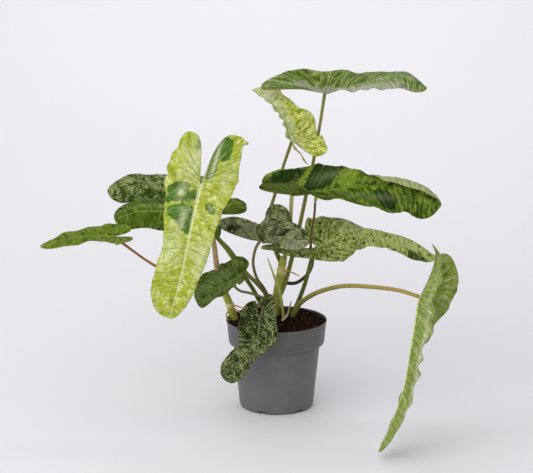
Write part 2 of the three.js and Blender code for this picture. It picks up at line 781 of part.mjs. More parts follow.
function makePlant() {
  const stems = {};
  for (const [name, stem] of Object.entries(STEMS)) {
    stems[name] = makeStem(stem);
    addPiece(name, stems[name], stem.colour, 0.45);
  }
  const grownStems = Object.values(STEMS).map((stem) => makeStem(stem, FIT));
  const holes = [...grownStems];

  LEAVES.forEach((leaf, i) => {
    const name = `leaf_${String(i + 1).padStart(2, "0")}`;
    const { path, radii, colour, from } = leaf.stalk;
    let stalk = bar(path, radii, STALK_SIDES);
    stalk = stalk.subtract(blade(leaf, FIT));
    grownStems.forEach((stem) => {
      stalk = stalk.subtract(stem);
    });
    if (from === "soil") {
      holes.push(bar(path, radii, STALK_SIDES, FIT));
    }
    addPiece(`${name}_blade`, blade(leaf), leaf.colour, 0.35);
    addPiece(`${name}_stalk`, largest(stalk), colour, 0.45);
  });

  let youngStalk = bar(YOUNG_STALK.path, YOUNG_STALK.radii, STALK_SIDES);
  grownStems.forEach((stem) => {
    youngStalk = youngStalk.subtract(stem);
  });
  addPiece("young_leaf_stalk", largest(youngStalk), COLOURS.brownStalk, 0.45);
  addPiece("young_leaf", bar(YOUNG_LEAF.path, YOUNG_LEAF.radii, STALK_SIDES), COLOURS.pale, 0.4);

  for (const [name, { path, radii, colour }] of Object.entries(SHEATHS)) {
    holes.push(bar(path, radii, STALK_SIDES, FIT));
    addPiece(name, bar(path, radii, STALK_SIDES), colour, 0.6);
  }
  return holes;
}

const holes = makePlant();
addPiece("soil", makeSoil(holes), COLOURS.soil, 0.95);
addPiece("pot", makePot(), COLOURS.pot, 0.55);

export default group;
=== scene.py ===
# Potted variegated arrow-leaf philodendron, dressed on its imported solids. The frame is theirs: +Z up,
# the origin in the middle of the pot's foot. The plant's and the pot's sizes are in millimetres and
# become metres in mesh(). Only the camera and the lamps are placed in metres.

import math

import bpy
import numpy as np
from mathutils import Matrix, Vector


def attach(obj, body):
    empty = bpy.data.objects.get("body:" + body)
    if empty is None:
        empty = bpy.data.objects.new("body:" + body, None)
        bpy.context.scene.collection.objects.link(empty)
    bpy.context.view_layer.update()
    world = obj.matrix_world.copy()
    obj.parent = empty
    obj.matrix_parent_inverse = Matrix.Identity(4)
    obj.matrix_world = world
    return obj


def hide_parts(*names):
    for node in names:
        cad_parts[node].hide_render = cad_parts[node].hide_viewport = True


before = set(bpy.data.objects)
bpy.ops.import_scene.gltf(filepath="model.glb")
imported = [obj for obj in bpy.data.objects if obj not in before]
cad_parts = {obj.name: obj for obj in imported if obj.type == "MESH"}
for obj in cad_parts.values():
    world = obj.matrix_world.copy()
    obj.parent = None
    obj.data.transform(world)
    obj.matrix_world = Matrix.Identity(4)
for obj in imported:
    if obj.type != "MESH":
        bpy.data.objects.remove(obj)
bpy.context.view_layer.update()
scene = bpy.context.scene

# The camera stands 2.5 m in front of the plant and 0.84 m up. Its long lens takes in about 0.9 m at the
# pot, over a picture that is 533 pixels wide.
CAMERA_AT = (0, -2.484, 0.844)
CAMERA_AIM = (-0.017, 0, 0.292)
FOCAL_PIXELS = 1527
PICTURE_PIXELS = 533
SENSOR_WIDTH = 36

camera = bpy.data.objects.new("camera", bpy.data.cameras.new("camera"))
scene.collection.objects.link(camera)
camera.location = CAMERA_AT
camera.rotation_euler = (Vector(CAMERA_AIM) - Vector(CAMERA_AT)).to_track_quat("-Z", "Y").to_euler()
camera.data.sensor_width = SENSOR_WIDTH
camera.data.lens = FOCAL_PIXELS / PICTURE_PIXELS * SENSOR_WIDTH
camera.data.clip_end = 50
scene.camera = camera
scene.view_settings.view_transform = "Standard"


# Floor and backdrop: one sheet of matt pale paper that lies flat and sweeps up far behind the plant,
# so that no edge shows. Wide soft lamps light the plant from the left and the front and the paper from
# above, and the room is pale all round.
def linear(code):
    """A colour's linear red, green, blue and alpha, from its sRGB hex value."""
    parts = [int(code[i : i + 2], 16) / 255 for i in (1, 3, 5)]
    return [p / 12.92 if p <= 0.04045 else ((p + 0.055) / 1.055) ** 2.4 for p in parts] + [1]


def add(material, kind, sockets=None, out=0, **settings):
    """Add a node with its settings, and its sockets by name or number: a socket is linked, a value set.
    In a Mix, 0 is the share and 6 and 7 are the colours. A MapRange takes 1 to 2 onto 3 to 4, or 0 to 1."""
    tree = material.node_tree
    node = tree.nodes.new("ShaderNode" + kind)
    for name, value in settings.items():
        setattr(node, name, value)
    for name, value in (sockets or {}).items():
        if isinstance(value, bpy.types.NodeSocket):
            tree.links.new(value, node.inputs[name])
        else:
            node.inputs[name].default_value = value
    return node.outputs[out] if out is not None else node


def new_material(name):
    """An empty material, ready for its nodes."""
    material = bpy.data.materials.new(name)
    material.use_nodes = True
    material.node_tree.nodes.clear()
    return material


def per_metre(size):
    """A pattern's scale from its grain in millimetres, since Object coordinates run in metres."""
    return 1000 / size


def finish_skin(material, colour, roughness, bump=None, height=0.001, **constants):
    """End a material in the shader. Colour and roughness may be linked, and constants sit on its own
    sockets. The bump stands up to height, in metres."""
    sockets = {"Base Color": colour, "Roughness": roughness}
    if bump is not None:
        sockets["Normal"] = add(material, "Bump", {"Height": bump, "Distance": height, "Strength": 1})
    sockets.update({name.replace("_", " "): value for name, value in constants.items()})
    shader = add(material, "BsdfPrincipled", sockets)
    add(material, "OutputMaterial", {"Surface": shader}, out=None)
    return material


def mesh(name, points, faces, material, smooth=True, **fields):
    """A mesh object from points in millimetres and faces, with a number at each point for each field."""
    data = bpy.data.meshes.new(name)
    data.from_pydata((np.asarray(points) * 0.001).tolist(), [], np.asarray(faces).tolist())
    for field, values in fields.items():
        attribute = data.attributes.new(field, "FLOAT", "POINT")
        attribute.data.foreach_set("value", np.asarray(values, np.float32).ravel())
    data.polygons.foreach_set("use_smooth", np.full(len(data.polygons), smooth))
    data.materials.append(material)
    data.update()
    piece = bpy.data.objects.new(name, data)
    scene.collection.objects.link(piece)
    return piece


def grid_faces(rows, columns, closed=False):
    """Four-sided faces of a grid of points numbered row by row. A closed grid joins its last column on."""
    i, j = np.meshgrid(np.arange(rows - 1), np.arange(columns if closed else columns - 1), indexing="ij")
    k = (j + 1) % columns
    corners = [i * columns + j, i * columns + k, (i + 1) * columns + k, (i + 1) * columns + j]
    return np.stack(corners, -1).reshape(-1, 4)


def sweep_of_paper(width=9000, front=-4500, back=2600, rise=3000, radius=1500):
    """Across x and along s: flat at z = 0 to the back, a quarter circle of the radius, then upright."""
    turn = np.linspace(0, np.pi / 2, 16)
    y = np.concatenate([[front, 0], back + radius * np.sin(turn), [back + radius]])
    z = np.concatenate([[0, 0], radius * (1 - np.cos(turn)), [radius + rise]])
    x = np.array([-width / 2, width / 2])
    points = np.stack(np.broadcast_arrays(x[None], y[:, None], z[:, None]), -1).reshape(-1, 3)
    return points, grid_faces(len(y), 2)


# Uncoated backdrop paper: it scatters light evenly, over a grain that is drawn 1 mm coarse to show.
paper = new_material("matt_backdrop_paper")
place = add(paper, "TexCoord", out=3)
grain = add(paper, "TexNoise", {"Vector": place, "Scale": per_metre(1.11), "Detail": 2.0})
finish_skin(paper, linear("#e3e2e5"), 0.75, grain, 0.00003, Specular_IOR_Level=0.25)
floor = mesh("floor", *sweep_of_paper(), paper)

LAMPS = {
    "lamp_left": {"watts": 36, "size": 2.4, "at": (-2.3, -1.7, 2.1), "aim": (0, 0, 0.25)},
    "lamp_front": {"watts": 24, "size": 1.8, "at": (-0.5, -2.8, 1.9), "aim": (0.1, -0.2, 0.1)},
    "lamp_back": {"watts": 56, "size": 2.4, "at": (0, 2.2, 3.8), "aim": (0, 4.2, 1.5)},
}
for lamp_name, lit in LAMPS.items():
    lamp_data = bpy.data.lights.new(lamp_name, "AREA")
    lamp_data.energy = lit["watts"]
    lamp_data.size = lit["size"]
    lamp = bpy.data.objects.new(lamp_name, lamp_data)
    lamp.location = lit["at"]
    lamp.rotation_euler = (Vector(lit["aim"]) - Vector(lit["at"])).to_track_quat("-Z", "Y").to_euler()
    scene.collection.objects.link(lamp)
room = bpy.data.worlds.new("room")
room.use_nodes = True
walls = room.node_tree.nodes["Background"]
walls.inputs["Color"].default_value = linear("#f4f4f7")
walls.inputs["Strength"].default_value = 0.74
scene.world = room


# Pot: a grower's pot, injection-moulded in one piece from anthracite polypropylene. It has a tall collar
# with a thin rolled rim, a body stepped in below it, and drain notches moulded through its foot.
POT_TOP = 150.0
COLLAR_FOOT = 112.0
NOTCHES = 6
NOTCH_PITCH = 360 / NOTCHES
FIRST_NOTCH = -112
NOTCH_HEIGHT = 5.0
NOTCH_INNER_END = 50.4
NOTCH_HALF_ANGLE = math.degrees(math.atan2(6.5, 60))


def turned_shell(profile, angles, lift):
    """A profile (r, z) turned about +Z: (r cos a, r sin a, max(z, lift(r, a))). lift raises the notches."""
    r, z = np.asarray(profile, float).T
    a = np.radians(angles)[:, None]
    x, y = r * np.cos(a), r * np.sin(a)
    return np.stack([x, y, np.maximum(z, lift(r, a))], -1)


def notch_roof(r, a):
    """The notches' roof height where r is beyond their inner end and the angle is in one, else 0."""
    half = NOTCH_PITCH / 2
    from_middle = np.abs((np.degrees(a) - FIRST_NOTCH + half) % NOTCH_PITCH - half)
    return np.where((from_middle < NOTCH_HALF_ANGLE) & (r > NOTCH_INNER_END), NOTCH_HEIGHT, 0.0)


def arc(middle, radius, start, end, count):
    """Points of a circle's arc in a profile, angles in degrees from +r towards +z."""
    t = np.radians(np.linspace(start, end, count))
    return [[middle[0] + radius * math.cos(v), middle[1] + radius * math.sin(v)] for v in t]


pot_profile = (
    [[0, 0], [30, 0], [50, 0], [50.5, 0.01], [56, 0.01]]
    + arc((59.3, 2.8), 2.8, -90, -20, 6)
    + [[62.6, 4.6], [62.8, 5.4], [63.2, 8], [67, 48], [71, 86], [72.8, COLLAR_FOOT - 6]]
    + arc((74.8, COLLAR_FOOT - 4.4), 1.8, 175, 95, 5)
    + [[77.5, COLLAR_FOOT - 2.2]]
    + arc((78.2, COLLAR_FOOT + 0.6), 2.4, -65, -3, 5)
    + [[81.3, COLLAR_FOOT + 8], [83.6, POT_TOP - 6], [84.2, POT_TOP - 3.4]]
    + arc((84.2, POT_TOP - 1.2), 0.8, -70, 90, 7)
    + [[83.7, POT_TOP - 0.2], [83.4, POT_TOP - 1.2], [82.2, POT_TOP - 12], [79.2, COLLAR_FOOT + 5]]
    + [[76, COLLAR_FOOT], [72.2, COLLAR_FOOT - 4], [61.4, 8], [58, 2.2], [0, 2.2]]
)
notch_sides = NOTCH_HALF_ANGLE * np.array([-1.01, -0.99, 0.99, 1.01])
notch_edges = np.concatenate([k * NOTCH_PITCH + FIRST_NOTCH + notch_sides for k in range(NOTCHES)])
pot_angles = np.unique(np.concatenate([np.arange(0, 360, 2.5), notch_edges % 360]))
shell = turned_shell(pot_profile, pot_angles, notch_roof)
shell_faces = grid_faces(len(pot_angles), len(pot_profile))
last = (len(pot_angles) - 1) * len(pot_profile) + np.arange(len(pot_profile) - 1)
seam = np.stack([last, last + 1, np.arange(1, len(pot_profile)), np.arange(len(pot_profile) - 1)], -1)

# Polypropylene as it leaves the mould: an even satin grey. Scuffs cloud it faintly over 26 mm, and a grain
# of 0.7 mm breaks its gloss. Painted shade darkens the step below the collar, where the undercut lies in
# shadow, and the collar itself is a shade darker than the body.
plastic = new_material("moulded_polypropylene")
place = add(plastic, "TexCoord", out=3)
fine = add(plastic, "TexNoise", {"Vector": place, "Scale": per_metre(0.714), "Detail": 3.0})
scuff_noise = {"Vector": place, "Scale": per_metre(26.3), "Detail": 6.0, "Roughness": 0.65}
scuffs = add(plastic, "TexNoise", scuff_noise)
worn = add(plastic, "MapRange", {"Value": scuffs, 1: 0.35, 2: 0.75, 3: 0.42, 4: 0.56})
cloudy = add(plastic, "MapRange", {"Value": scuffs, 1: 0.3, 2: 0.8})
greys = {0: cloudy, 6: linear("#5a595a"), 7: linear("#646364")}
grey = add(plastic, "Mix", greys, out=2, data_type="RGBA")
up = add(plastic, "SeparateXYZ", {0: place}, out=2)
step_at = 0.001 * (COLLAR_FOOT - 1.6)
from_step = add(plastic, "Math", {0: up, 1: step_at}, operation="SUBTRACT")
from_step = add(plastic, "Math", {0: from_step}, operation="ABSOLUTE")
# Painted shade: the step under the collar darkens within 1.8 mm of it, where the undercut is in shadow.
painted_step_shade = add(plastic, "MapRange", {"Value": from_step, 1: 0.0004, 2: 0.0018, 3: 0.55, 4: 1.0})
collar_foot = {1: 0.001 * COLLAR_FOOT, 2: 0.001 * (COLLAR_FOOT + 4)}
collar = add(plastic, "MapRange", {"Value": up, **collar_foot, 3: 1.12, 4: 0.9})
shade = add(plastic, "Math", {0: painted_step_shade, 1: collar}, operation="MULTIPLY")
grey = add(plastic, "VectorMath", {0: grey, "Scale": shade}, operation="SCALE")
finish_skin(plastic, grey, worn, fine, 0.00004, IOR=1.49, Specular_IOR_Level=0.35)
pot = mesh("pot_shell", shell.reshape(-1, 3), np.concatenate([shell_faces, seam])[:, ::-1], plastic)
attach(pot, "root")
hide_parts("pot")


# Potting mix: damp brown coco peat, pressed in loosely to just under the rim. It has a crumbly top
# of granules, with chips of husk on it.
SOIL_LEVEL = 146.5
SOIL_RADIUS = 81.4
CHIPS_REACH = 79
SOIL_SIDES = ((0.95, 118), (0.87, 107), (0.74, 8), (0.69, 3), (0, 3))


def lumps(x, y, size, seed):
    """Soft random heights, -1 to 1: seeded numbers on a square net of that size, with each square blended
    between its corners by f^2 (3 - 2 f)."""
    table = np.random.default_rng(seed).uniform(-1, 1, (64, 64))
    u, v = np.asarray(x) / size + 31, np.asarray(y) / size + 31
    i, j = np.floor(u).astype(int), np.floor(v).astype(int)
    f, g = u - i, v - j
    f, g = f * f * (3 - 2 * f), g * g * (3 - 2 * g)
    i, j, k, m = i % 64, j % 64, (i + 1) % 64, (j + 1) % 64
    near = table[i, j] * (1 - f) + table[k, j] * f
    far = table[i, m] * (1 - f) + table[k, m] * f
    return near * (1 - g) + far * g


def soil_height(x, y):
    """Waves and lumps of three sizes on the mix's level, higher at the back and lower near the wall."""
    r = np.hypot(x, y)
    wide = np.sin(0.21 * x + 1) * np.cos(0.17 * y) + 0.6 * np.sin(0.37 * (x + y))
    crumbs = 0.8 * lumps(x, y, 6, 1) + 0.55 * lumps(x, y, 2.7, 2) + 0.35 * lumps(x, y, 1.3, 3)
    return SOIL_LEVEL + 0.9 * wide + 1.2 * crumbs - 1.2 * np.clip((r - 74) / 8, 0, 1) ** 2 + 0.034 * y


spokes = np.linspace(0, 2 * np.pi, 180, endpoint=False)[:, None]
rings = SOIL_RADIUS * np.linspace(0.004, 1, 70)
soil_x, soil_y = rings * np.cos(spokes), rings * np.sin(spokes)
soil_top = np.stack([soil_x, soil_y, soil_height(soil_x, soil_y)], -1)
soil_sides = [soil_top[:, -1:] * [share, share, 0] + [0, 0, z] for share, z in SOIL_SIDES]
soil_grid = np.concatenate([soil_top, *soil_sides], 1).transpose(1, 0, 2)

# Milled coco peat, damp: nearly black and matt, clouded over 6 mm. Single grains, drawn 2.4 mm coarse to
# show, have dried to a reddish brown.
peat = new_material("damp_coco_peat")
place = add(peat, "TexCoord", out=3)
grains = add(peat, "TexVoronoi", {"Vector": place, "Scale": per_metre(2.38)}, out=1)
grain_tone = add(peat, "SeparateColor", {0: grains})
cloud_noise = {"Vector": place, "Scale": per_metre(6.25), "Detail": 6.0, "Roughness": 0.7}
cloud = add(peat, "TexNoise", cloud_noise)
tone = add(peat, "MapRange", {"Value": cloud, 1: 0.38, 2: 0.68})
browns = {0: tone, 6: linear("#040201"), 7: linear("#130906")}
brown = add(peat, "Mix", browns, out=2, data_type="RGBA")
red = add(peat, "MapRange", {"Value": grain_tone, 1: 0.72, 2: 0.8, 3: 0.0, 4: 0.75})
brown = add(peat, "Mix", {0: red, 6: brown, 7: linear("#482518")}, out=2, data_type="RGBA")
finish_skin(peat, brown, 0.95, cloud, 0.0012, Specular_IOR_Level=0.05)
soil_faces = grid_faces(*soil_grid.shape[:2], closed=True)
soil = mesh("potting_mix", soil_grid.reshape(-1, 3), soil_faces, peat)
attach(soil, "root")
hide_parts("soil")


def chips(count, seed):
    """Rough eight-cornered chips, each a cube pushed out of shape, scaled, turned and laid on the mix."""
    random = np.random.default_rng(seed)
    cube = np.array([[a, b, c] for a in (-1, 1) for b in (-1, 1) for c in (-1, 1)], float)
    corners = cube + random.uniform(-0.45, 0.45, (count, 8, 3))
    corners *= random.uniform([0.7, 0.5, 0.3], [2.6, 1.5, 0.9], (count, 3))[:, None]
    axes = np.linalg.qr(random.normal(size=(count, 3, 3)))[0]
    flat = np.eye(3) + 0.45 * axes
    spin = random.uniform(0, 2 * np.pi, count)
    turning = np.zeros((count, 3, 3))
    turning[:, 0, 0] = turning[:, 1, 1] = np.cos(spin)
    turning[:, 0, 1], turning[:, 1, 0], turning[:, 2, 2] = -np.sin(spin), np.sin(spin), 1
    corners = np.einsum("nkj,nij,nil->nkl", corners, flat, turning)
    a = random.uniform(0, 2 * np.pi, count)
    r = CHIPS_REACH * np.sqrt(random.uniform(0, 1, count))
    x, y = r * np.cos(a), r * np.sin(a)
    corners += np.stack([x, y, soil_height(x, y) + 0.2], -1)[:, None]
    sides = np.array([[0, 1, 3, 2], [4, 6, 7, 5], [0, 4, 5, 1], [2, 3, 7, 6], [0, 2, 6, 4], [1, 5, 7, 3]])
    return corners.reshape(-1, 3), (np.arange(count)[:, None, None] * 8 + sides).reshape(-1, 4)


# Chopped coco husk: brown, matt and fibrous. Its tone changes over 11 mm, so from chip to chip, and its
# threads are 0.8 mm thick.
husk = new_material("coco_husk_chips")
place = add(husk, "TexCoord", out=3)
spots = add(husk, "TexNoise", {"Vector": place, "Scale": per_metre(11.1), "Detail": 2.0})
tone = add(husk, "MapRange", {"Value": spots, 1: 0.4, 2: 0.66})
browns = {0: tone, 6: linear("#150b08"), 7: linear("#4c2c1a")}
brown = add(husk, "Mix", browns, out=2, data_type="RGBA")
threads = add(husk, "TexNoise", {"Vector": place, "Scale": per_metre(0.833), "Detail": 3.0})
finish_skin(husk, brown, 0.9, threads, 0.0003, Specular_IOR_Level=0.1)
husk_chips = mesh("husk_chips", *chips(520, 7), husk, smooth=False)
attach(husk_chips, "root")


# Stems: two jointed stems and a short crown, green and fleshy, with a pale leaf-scar ring and thin
# brown aerial roots at the joints. Their feet stand in the mix and root there.
def spline(points, steps=60):
    """A smooth line through points: between two of them a cubic, with end slopes that weigh the square
    roots of the distances to the next points. Returns places on it, their lengths along it and the
    points' own lengths."""
    p = np.asarray(points, float)
    p = np.vstack([2 * p[0] - p[1], p, 2 * p[-1] - p[-2]])
    gaps = np.sqrt(np.linalg.norm(np.diff(p, axis=0), axis=1))[:, None]
    d0, d1, d2 = gaps[:-2], gaps[1:-1], gaps[2:]
    p0, p1, p2, p3 = p[:-3], p[1:-2], p[2:-1], p[3:]
    m1 = ((p1 - p0) / d0 - (p2 - p0) / (d0 + d1) + (p2 - p1) / d1) * d1
    m2 = ((p2 - p1) / d1 - (p3 - p1) / (d1 + d2) + (p3 - p2) / d2) * d1
    t = (np.arange(steps) / steps)[None, :, None]
    a, b, c, d = (v[:, None] for v in (p1, m1, -3 * p1 + 3 * p2 - 2 * m1 - m2, 2 * p1 - 2 * p2 + m1 + m2))
    line = np.vstack([(a + b * t + c * t**2 + d * t**3).reshape(-1, 3), p[-2:-1]])
    lengths = np.concatenate([[0], np.cumsum(np.linalg.norm(np.diff(line, axis=0), axis=1))])
    return line, lengths, lengths[::steps]


def on_line(line, lengths, s):
    """Places at lengths s of a line, going straight on before its start."""
    start = (line[1] - line[0]) / np.linalg.norm(line[1] - line[0])
    inside = np.stack([np.interp(s, lengths, line[:, k]) for k in range(3)], -1)
    return inside + np.minimum(s, 0)[..., None] * start


def tube(points, radii, rings, sides, relief=None):
    """A round bar: centre(s) + r(s, a) (cos a N(s) + sin a B(s)). r runs evenly through the radii, relief
    adds to it, and both ends round off over their last millimetre. N is square to the direction, among
    several, that the line stays clearest of. Returns points, faces, and s from 0 to 1."""
    line, lengths, _ = spline(points)
    whole = lengths[-1]
    close = min(1.0, whole / 8)
    ends = np.array([0, 0.15, 0.5, 1]) * close
    s = np.concatenate([ends, np.linspace(close, whole - close, rings)[1:-1], whole - ends[::-1]])
    middle = on_line(line, lengths, s)
    along = on_line(line, lengths, np.minimum(s + 1, whole)) - on_line(line, lengths, s - 1)
    along /= np.linalg.norm(along, axis=1)[:, None]
    choices = np.array([[1, 0, 0], [0, 1, 0], [0, 0, 1], [0.7, 0.7, 0], [0.7, -0.7, 0], [0.6, 0.3, 0.75]])
    clear = np.linalg.norm(np.cross(along[None], choices[:, None]), axis=2).min(1)
    first = np.cross(along, choices[clear.argmax()])
    first /= np.linalg.norm(first, axis=1)[:, None]
    second = np.cross(along, first)
    r = np.interp(s / whole, np.linspace(0, 1, len(radii)), radii)
    nearest_end = np.minimum(np.minimum(s, whole - s) / close, 1)
    round_off = np.sqrt(1 - (1 - nearest_end) ** 2)
    a = np.linspace(0, 2 * np.pi, sides, endpoint=False)
    r = r[:, None] + (relief(s[:, None], a[None]) if relief else np.zeros((1, sides)))
    r = r * np.maximum(round_off, 0.02)[:, None]
    ring = np.cos(a)[None, :, None] * first[:, None] + np.sin(a)[None, :, None] * second[:, None]
    grid = middle[:, None] + r[..., None] * ring
    return grid.reshape(-1, 3), grid_faces(len(s), sides, closed=True), np.repeat(s / whole, sides)


def joined(parts):
    """Several (points, faces, s) made one."""
    starts = np.cumsum([0] + [len(p[0]) for p in parts[:-1]])
    points = np.concatenate([p[0] for p in parts])
    faces = np.concatenate([p[1] + start for p, start in zip(parts, starts)])
    return points, faces, np.concatenate([p[2] for p in parts])


def stem_skin(name, foot, top, ring, ring_at):
    """Fleshy green bark, satin: the foot's colour runs into the top's, with a pale scar ring, brown blots
    of 7 mm, and streaks 1.1 mm wide that are drawn out eight times along +Z."""
    skin = new_material(name)
    place = add(skin, "TexCoord", out=3)
    s = add(skin, "Attribute", out=2, attribute_name="height")
    base = add(skin, "Mix", {0: s, 6: linear(foot), 7: linear(top)}, out=2, data_type="RGBA")
    away = add(skin, "Math", {0: s, 1: ring_at}, operation="SUBTRACT")
    away = add(skin, "Math", {0: away}, operation="ABSOLUTE")
    near = add(skin, "MapRange", {"Value": away, 1: 0.015, 2: 0.06, 3: 0.85, 4: 0.0})
    base = add(skin, "Mix", {0: near, 6: base, 7: linear(ring)}, out=2, data_type="RGBA")
    long_way = add(skin, "Mapping", {0: place, 3: (1, 1, 0.12)})
    streaks = add(skin, "TexNoise", {"Vector": long_way, "Scale": per_metre(1.11), "Detail": 3.0})
    streak = add(skin, "MapRange", {"Value": streaks, 1: 0.35, 2: 0.7, 3: 0.78, 4: 1.12})
    blots = add(skin, "TexNoise", {"Vector": place, "Scale": per_metre(6.67), "Detail": 4.0})
    blot = add(skin, "MapRange", {"Value": blots, 1: 0.58, 2: 0.72, 3: 0.0, 4: 0.5})
    base = add(skin, "Mix", {0: blot, 6: base, 7: linear("#8a6a34")}, out=2, data_type="RGBA")
    shade = add(skin, "VectorMath", {0: base, "Scale": streak}, operation="SCALE")
    return finish_skin(skin, shade, 0.42, streaks, 0.0002, Specular_IOR_Level=0.2)


# Corky skin of aerial roots: ochre brown, matt, and mottled over 5 mm.
root_bark = new_material("aerial_root_bark")
place = add(root_bark, "TexCoord", out=3)
spots = add(root_bark, "TexNoise", {"Vector": place, "Scale": per_metre(4.55), "Detail": 3.0})
ochres = {0: spots, 6: linear("#8f6426"), 7: linear("#d6a648")}
ochre = add(root_bark, "Mix", ochres, out=2, data_type="RGBA")
finish_skin(root_bark, ochre, 0.6, spots, 0.0003)

ROOT_RADII = [1.6, 1.4, 1.1, 0.7]
STEMS = {
    "stem_left": {
        "path": [[-58, 12, 100], [-70, 12, 139], [-80, 4, 176], [-91, -5, 204]],
        "radii": [6.5, 7, 6.6, 6],
        "ring": 0.7,
        "roots": [
            [[-80, 2, 174], [-66, -6, 173.5], [-54, -10, 170]],
            [[-78, 1, 170], [-67, -7, 167], [-57, -10, 160]],
            [[-78, 8, 166], [-85, 2, 155], [-79, -6, 147]],
        ],
        "colours": ("#6c8f26", "#c0c452", "#e4e2a0"),
        "slot": "stem",
    },
    "stem_middle": {
        "path": [[-3, 31, 96], [-3, 30, 139], [0, 30, 180], [5, 30, 210], [8, 30, 228], [11, 30, 251]],
        "radii": [7.5, 7.5, 7.2, 7, 7.2, 7],
        "ring": 0.85,
        "roots": [[[8, 26, 227], [24, 20, 226], [40, 17, 219]]],
        # The foot's dark green is partly painted shade, where the foot stands in the leaves' shadow.
        "colours": ("#536a22", "#b2b650", "#d8cc88"),
        "slot": "stem",
    },
    "crown": {
        "path": [[-18, 24, 100], [-20, 24, 145], [-18, 24, 166], [-16, 24, 184]],
        "radii": [8, 9, 8, 6],
        "ring": 0.6,
        "roots": [],
        "colours": ("#57452c", "#5f7038", "#8a7a4a"),
        "slot": "crown",
    },
}

for name, stem in STEMS.items():
    ring_at = stem["ring"]
    length = spline(stem["path"])[1][-1]

    def joint_relief(s, a, at=ring_at * length):
        """A swollen scar ring 1.1 mm high, a hollow above it, and seven faint ridges along the stem."""
        swell = 1.1 * np.exp(-(((s - at) / 1.6) ** 2)) - 0.5 * np.exp(-(((s - at - 4) / 2.5) ** 2))
        return swell + 0.12 * np.sin(7 * a + 0.02 * s)

    body = tube(stem["path"], stem["radii"], 90, 32, joint_relief)
    bark = stem_skin(name + "_skin", *stem["colours"], ring_at)
    piece = mesh(name + "_body", body[0], body[1][:, ::-1], bark, height=body[2])
    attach(piece, "root")
    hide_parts(name)
    if stem["roots"]:
        roots = joined([tube(root, ROOT_RADII, 24, 10) for root in stem["roots"]])
        piece = mesh(name + "_roots", roots[0], roots[1][:, ::-1], root_bark)
        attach(piece, "root")


# Leaves: thirteen arrow-shaped blades, leathery and waxed, each on a round fleshy stalk that grows from
# a stem or out of the mix and swells where it meets the blade. The marbling of pale, green and dark
# tissue follows the side veins, and a whitish sheen is painted on as highlights.
BLADE_WIDTHS = [1, 0.95, 0.8, 0.72, 0.72, 0.7, 0.66]
BLADE_THICKNESS = 0.7
RIB_HEIGHT = 2.0
BLISTER_HEIGHT = 0.7


def eased(keys, t):
    """Values at t, 0 to 1, between evenly spaced keys, eased in and out at each."""
    keys = np.asarray(keys, float)
    place = np.clip(t, 0, 1) * (len(keys) - 1)
    i = np.minimum(place.astype(int), len(keys) - 2)
    f = place - i
    f = f * f * (3 - 2 * f)
    return keys[i] * (1 - f) + keys[i + 1] * f


